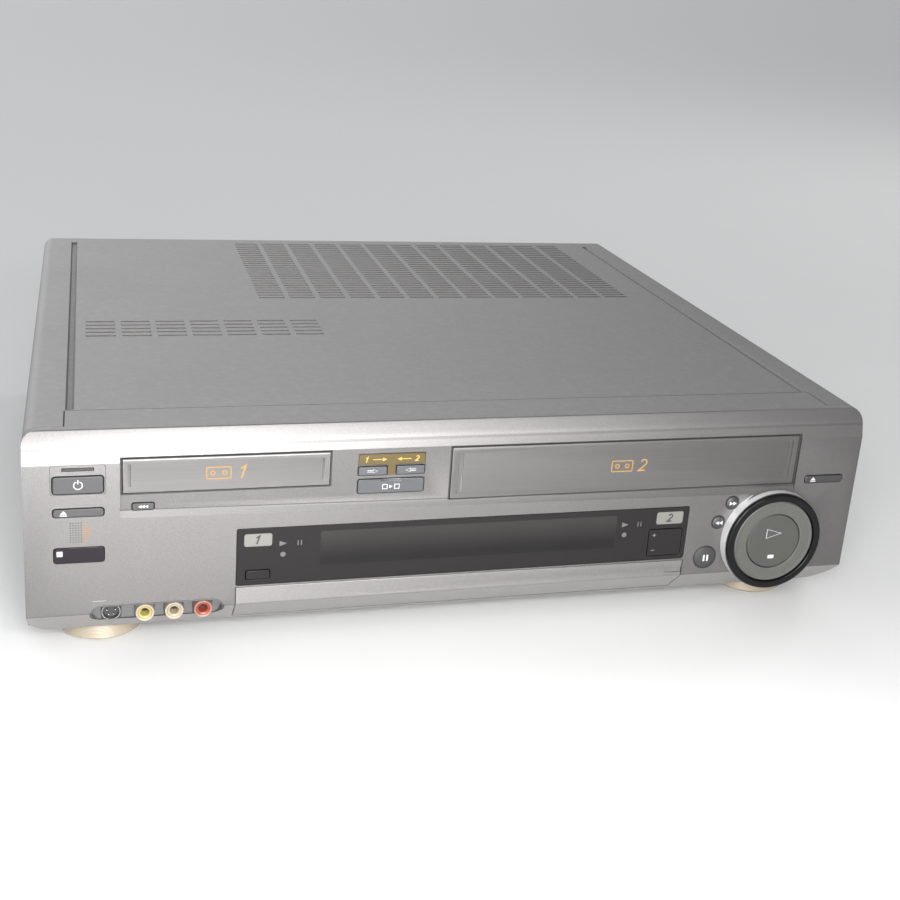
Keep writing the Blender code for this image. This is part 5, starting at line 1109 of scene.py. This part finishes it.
DUB_TAIL = (0.0026, 0.00028)
DUB_HEAD = (0.0026, 0.0022)
DUB_SHIFT = 0.0014
DUB_TAILS_APART = 0.0004
DUB_LINE = 0.00030
DUB_SQUARE = 0.0026
DUB_SQUARE_SHIFT = 0.0030
DUB_POINTER = (0.0016, 0.0018)
DUB_DROP = -0.0004
for node, way in (("dub_to_large_button", 1), ("dub_to_small_button", -1)):
    head = moved(pointer(*DUB_HEAD, way), way * DUB_SHIFT, 0)
    tails = [moved(rounded_box(*DUB_TAIL), -way * DUB_SHIFT, side * DUB_TAILS_APART) for side in (-1, 1)]
    key_mark(node, tails, bands=[band_of(head, DUB_LINE)])
squares = [band_of(moved(rounded_box(DUB_SQUARE, DUB_SQUARE), side * DUB_SQUARE_SHIFT, DUB_DROP), DUB_LINE)
           for side in (-1, 1)]
key_mark("dubbing_start_button", [moved(pointer(*DUB_POINTER), 0, DUB_DROP)], bands=squares)

LABEL_ROW = 0.0028
LABEL_DIGIT = (0.0026, 0.00050)
LABEL_DIGIT_SHIFT = 0.0125
LABEL_ARROW = (0.0070, 0.0004, 0.0022)
LABEL_ARROW_SHIFT = 0.0060
label_low, label_high = corners("dubbing_label")
row_place = (box_centre("dubbing_label").x, label_high.z - LABEL_ROW)
legend = []
for side, outlines, shift in ((-1, digit_one(*LABEL_DIGIT), LABEL_DIGIT_SHIFT),
                              (1, digit_two(*LABEL_DIGIT), LABEL_DIGIT_SHIFT),
                              (-1, arrow(*LABEL_ARROW, 1), LABEL_ARROW_SHIFT),
                              (1, arrow(*LABEL_ARROW, -1), LABEL_ARROW_SHIFT)):
    legend += [moved(outline, row_place[0] + side * shift, row_place[1]) for outline in outlines]
flat_marks("dubbing_legend", legend, label_low.y, LABEL_PRINT)

DOOR_DIGIT = (0.0064, 0.00085)
CASSETTE_SIGN = (0.0120, 0.0064, 0.0010)
CASSETTE_LINE = 0.00060
CASSETTE_HUB = (0.0013, 0.0007, 0.0027)
SIGN_SHIFT = -0.0045
DIGIT_SHIFT = 0.0070


def cassette_sign():
    """Outline of a cassette with its two hubs, as pairs of loops."""
    width, height, corner = CASSETTE_SIGN
    outer, inner, apart = CASSETTE_HUB
    frame_pair = (rounded_box(width, height, corner),
                  rounded_box(width - 2 * CASSETTE_LINE, height - 2 * CASSETTE_LINE, corner - CASSETTE_LINE))
    hubs = [(moved(round_outline(outer), side * apart, 0), moved(round_outline(inner), side * apart, 0))
            for side in (-1, 1)]
    return [(moved(a, SIGN_SHIFT, 0), moved(b, SIGN_SHIFT, 0)) for a, b in [frame_pair] + hubs]


for node, digit in (("small_cassette_door", digit_one), ("large_cassette_door", digit_two)):
    strokes = [moved(outline, DIGIT_SHIFT, 0) for outline in digit(*DOOR_DIGIT)]
    key_mark(node, strokes, ORANGE_PRINT, bands=cassette_sign())

PLAY_OUTLINE = (0.0090, 0.0056)
PLAY_RISE = 0.0044
PLAY_LINE = 0.00055
STOP_SIDE = 0.0036
STOP_DROP = 0.0100
DISH_SHARE = 0.7
play = band_of(moved(pointer(*PLAY_OUTLINE), 0, PLAY_RISE), PLAY_LINE)
key_mark("play_stop_button", [moved(rounded_box(STOP_SIDE, STOP_SIDE), 0, -STOP_DROP)], bands=[play],
         lift=DISC_DISH * DISH_SHARE)


# Display: the lighter tube area, badges and faint marks behind the glass

TUBE = (0.1373, 0.2925, 0.0542, 0.0725)
TUBE_ROUND = 0.0004
TUBE_SUNK = 0.0002
BADGES = {"one": (digit_one, 0.1069, 0.0572, 0.0134, 0.0066),
          "two": (digit_two, 0.3225, 0.05705, 0.0150, 0.0069)}
BADGE_ROUND = 0.0012
BADGE_DIGIT = (0.0042, 0.0007)
SIGNS_IN = (0.1190, 0.2975)
SIGNS_DROP = (0.0597, 0.0655)
SIGN_POINTER = (0.0036, 0.0028)
SIGN_DOT = 0.0013
SIGN_BAR = (0.0005, 0.0026)
SIGN_BAR_SHIFT = 0.0080
SIGN_BARS_APART = 0.0008

left, right, high, low = TUBE
tube = on_front([rounded_box(right - left, low - high, TUBE_ROUND)], (left + right) / 2, (high + low) / 2)
flat_marks("display_tube", tube, FACE, TUBE_GREY, sunk=TUBE_SUNK)
for label, (digit, *place, width, height) in BADGES.items():
    badge = on_front([rounded_box(width, height, BADGE_ROUND)], *place)
    flat_marks(f"badge_{label}", badge, FACE, BADGE_GREY)
    flat_marks(f"badge_{label}_digit", on_front(digit(*BADGE_DIGIT), *place), FACE - PROUD * 2, SHADE_AND_PRINT_DARK,
               sunk=PROUD)
faint = []
bars = [moved(rounded_box(*SIGN_BAR), side * SIGN_BARS_APART, 0) for side in (-1, 1)]
for x in SIGNS_IN:
    faint += on_front([pointer(*SIGN_POINTER)], x, SIGNS_DROP[0])
    faint += on_front([round_outline(SIGN_DOT)], x, SIGNS_DROP[1])
    faint += on_front(bars, x + SIGN_BAR_SHIFT, SIGNS_DROP[0])
flat_marks("display_faint_marks", faint, FACE, FAINT_PRINT)

PLUS_BAR = (0.0019, 0.0004)
PLUS_STEM = 0.98
PLUS_IN = 0.3147
PLUS_RISE = 0.0044
MINUS_DROP = -0.0043
plus_x = from_left(PLUS_IN) - box_centre("channel_rocker").x
key_mark("channel_rocker", [rounded_box(*PLUS_BAR) + (plus_x, rise) for rise in (PLUS_RISE, MINUS_DROP)],
         BADGE_GREY, suffix="_signs")
stem = rounded_box(PLUS_BAR[1], PLUS_BAR[0] * PLUS_STEM) + (plus_x, PLUS_RISE)
key_mark("channel_rocker", [stem], BADGE_GREY, suffix="_plus_stem", lift=-PROUD / 4)


# Back: cover screws and socket inserts

SCREW_RADIUS = 0.0034
SCREW_HEIGHT = 0.0011
SCREW_DOME = 0.6
SCREW_CROSS = (0.0034, 0.0007)
REAR_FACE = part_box("rear_panel")[1][1]
REAR_SCREWS = ((-0.196, 0.1085), (0.0, 0.1085), (0.196, 0.1085), (-0.034, 0.056), (0.084, 0.056),
               (-0.196, 0.022), (0.196, 0.022))


def screw_head():
    """Domed head, turned about the axis that points back: height h * (1 - dome * (r / R)^4) at radius r."""
    share = np.linspace(1, 0, 8)
    dome = np.stack((SCREW_RADIUS * share, SCREW_HEIGHT * (1 - SCREW_DOME * share ** 4)), -1)
    return turned([(SCREW_RADIUS, 0), *dome], (0, 0, 0), "BACK", steps=24)


def screw_cross():
    """Cross recess, drawn as a thin dark plate of painted shade that stands a hair out of the head."""
    long, short = (value / 2 for value in SCREW_CROSS)
    turn = np.arange(4) * pi / 2
    arm = np.array([(long, -short), (long, short), (short, short)])
    outline = np.concatenate([arm @ np.array([(cos(t), sin(t)), (-sin(t), cos(t))]) for t in turn])
    return plates("cross", [outline], (), SCREW_HEIGHT + PROUD, SCREW_HEIGHT * SCREW_DOME)


for number, (x, z) in enumerate(REAR_SCREWS):
    for kind, make, material in (("head", screw_head, STEEL_SHEET), ("cross", screw_cross, SHADE_AND_PRINT_DARK)):
        mesh = make()
        mesh.transform(Matrix.Translation((x, REAR_FACE, z)))
        piece(f"screw_{number}_{kind}", mesh, material)

TERMINAL_PITCH = (0.0180, 0.0200)
TERMINAL_ROWS = 2
INSERT = (0.0012, 0.0029, 0.0050, 0.0004)
INSERT_SINK = 0.0006
ROW_COLOURS = (YELLOW_JACK, WHITE_JACK, RED_JACK, WHITE_JACK, RED_JACK)
terminal_middle = box_centre("rear_terminal_board")
terminal_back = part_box("rear_terminal_board")[1][1]
inner, outer, length, rounding = INSERT

for row in range(TERMINAL_ROWS):
    z = terminal_middle.z + (row - (TERMINAL_ROWS - 1) / 2) * TERMINAL_PITCH[1]
    for column, colour in enumerate(ROW_COLOURS):
        x = terminal_middle.x + (column - (len(ROW_COLOURS) - 1) / 2) * TERMINAL_PITCH[0]
        insert = turned_ring(inner, outer, [(inner, length, 0), (outer, length, rounding)],
                             (x, terminal_back - length - INSERT_SINK, z), "BACK", rounding_steps=4, steps=32)
        piece(f"terminal_{row}_{column}_insert", insert, colour)


# Stage, lights and camera

scene = bpy.context.scene
VIEW_TRANSFORM = "Standard"
FLOOR_REACH = 30.0
FLOOR_TONE = (0.585, 0.585, 0.580)
WORLD_TONE = (0.97, 0.98, 1.0)
WORLD_LEFT = 1.02
WORLD_RIGHT = 0.12
GLOW_TOWARDS = (-0.45, 0.86, 0.24)
GLOW_FROM = 0.45
GLOW = 1.15
# Name, place, what it is aimed at, width, height and power
LIGHTS = (
    ("camera_lamp", (-0.14, -0.82, 0.44), (-0.02, -0.10, 0.05), 0.24, 0.12, 1.8),
    ("camera_lamp_right", (0.12, -0.82, 0.42), (0.0, -0.10, 0.05), 0.20, 0.12, 2.3),
    ("left_lamp", (-0.14, -0.62, 0.33), (-0.10, -0.20, 0.07), 0.15, 0.15, 1.8),
    ("middle_strip", (-0.15, -0.72, 0.20), (-0.05, -0.20, 0.07), 0.30, 0.10, 2.4),
    ("low_strip", (-0.15, -0.66, 0.125), (-0.05, -0.20, 0.07), 0.35, 0.12, 1.8),
    ("wall_lamp", (1.60, 0.60, 1.40), (1.0, 1.4, 0.0), 0.80, 0.60, 9.0),
)

floor_corners = np.append(rounded_box(2 * FLOOR_REACH, 2 * FLOOR_REACH), np.zeros((4, 1)), axis=1)
floor = bpy.data.objects.new("floor", quad_mesh("floor", floor_corners, np.array([(0, 1, 2, 3)])))
floor.data.materials.append(moulded("floor_paint", FLOOR_TONE, 0.62, speckle=0.02, patches=0.03, bump=0.0))
scene.collection.objects.link(floor)

scene.view_settings.view_transform = VIEW_TRANSFORM

# The room is brighter on the left and glows at the back left, as the photograph's does
world = bpy.data.worlds.new("studio")
world.use_nodes = True
sky = world.node_tree
background = sky.nodes["Background"].inputs
background["Color"].default_value = (*WORLD_TONE, 1.0)
direction = add(sky, "ShaderNodeTexCoord").outputs["Generated"]
across = add(sky, "ShaderNodeSeparateXYZ", {0: direction}).outputs["X"]
fade = add(sky, "ShaderNodeMapRange", {0: across, 1: -1.0, 2: 1.0, 3: WORLD_LEFT, 4: WORLD_RIGHT})
towards = add(sky, "ShaderNodeVectorMath", {0: direction, 1: GLOW_TOWARDS}, operation="DOT_PRODUCT")
glow = add(sky, "ShaderNodeMapRange", {0: towards.outputs["Value"], 1: GLOW_FROM, 2: 1.0, 4: GLOW},
           interpolation_type="SMOOTHSTEP")
sky.links.new(reckon(sky, "ADD", fade.outputs[0], glow.outputs[0]), background["Strength"])
scene.world = world

for name, place, aim, width, height, power in LIGHTS:
    lamp = bpy.data.lights.new(name, "AREA")
    lamp.shape = "RECTANGLE"
    lamp.size = width
    lamp.size_y = height
    lamp.energy = power
    light = bpy.data.objects.new(name, lamp)
    light.location = place
    light.visible_camera = False
    light.rotation_euler = (Vector(aim) - Vector(place)).to_track_quat("-Z", "Y").to_euler()
    scene.collection.objects.link(light)

# The photograph's camera, solved from the recorder's own features
HEADING = radians(16.52)
PITCH = radians(17.57)
ROLL = radians(4.33)
CAMERA_PLACE = (from_left(0.0304), behind(-0.56223), TOP + 0.22118)
FRAME_PIXELS = 900
FOCAL_PIXELS = 1278.0
PRINCIPAL_DROP = 100.0
SENSOR = 36.0

ahead = Vector((sin(HEADING) * cos(PITCH), cos(HEADING) * cos(PITCH), -sin(PITCH)))
level = Vector((cos(HEADING), -sin(HEADING), 0))
upright = level.cross(ahead)
right = cos(ROLL) * level + sin(ROLL) * upright
up = cos(ROLL) * upright - sin(ROLL) * level
lens = bpy.data.cameras.new("camera")
lens.sensor_width = SENSOR
lens.lens = FOCAL_PIXELS / FRAME_PIXELS * SENSOR
lens.shift_y = -PRINCIPAL_DROP / FRAME_PIXELS
camera = bpy.data.objects.new("camera", lens)
camera.matrix_world = Matrix.Translation(CAMERA_PLACE) @ Matrix((right, up, -ahead)).transposed().to_4x4()
scene.collection.objects.link(camera)
bpy.context.scene.camera = camera
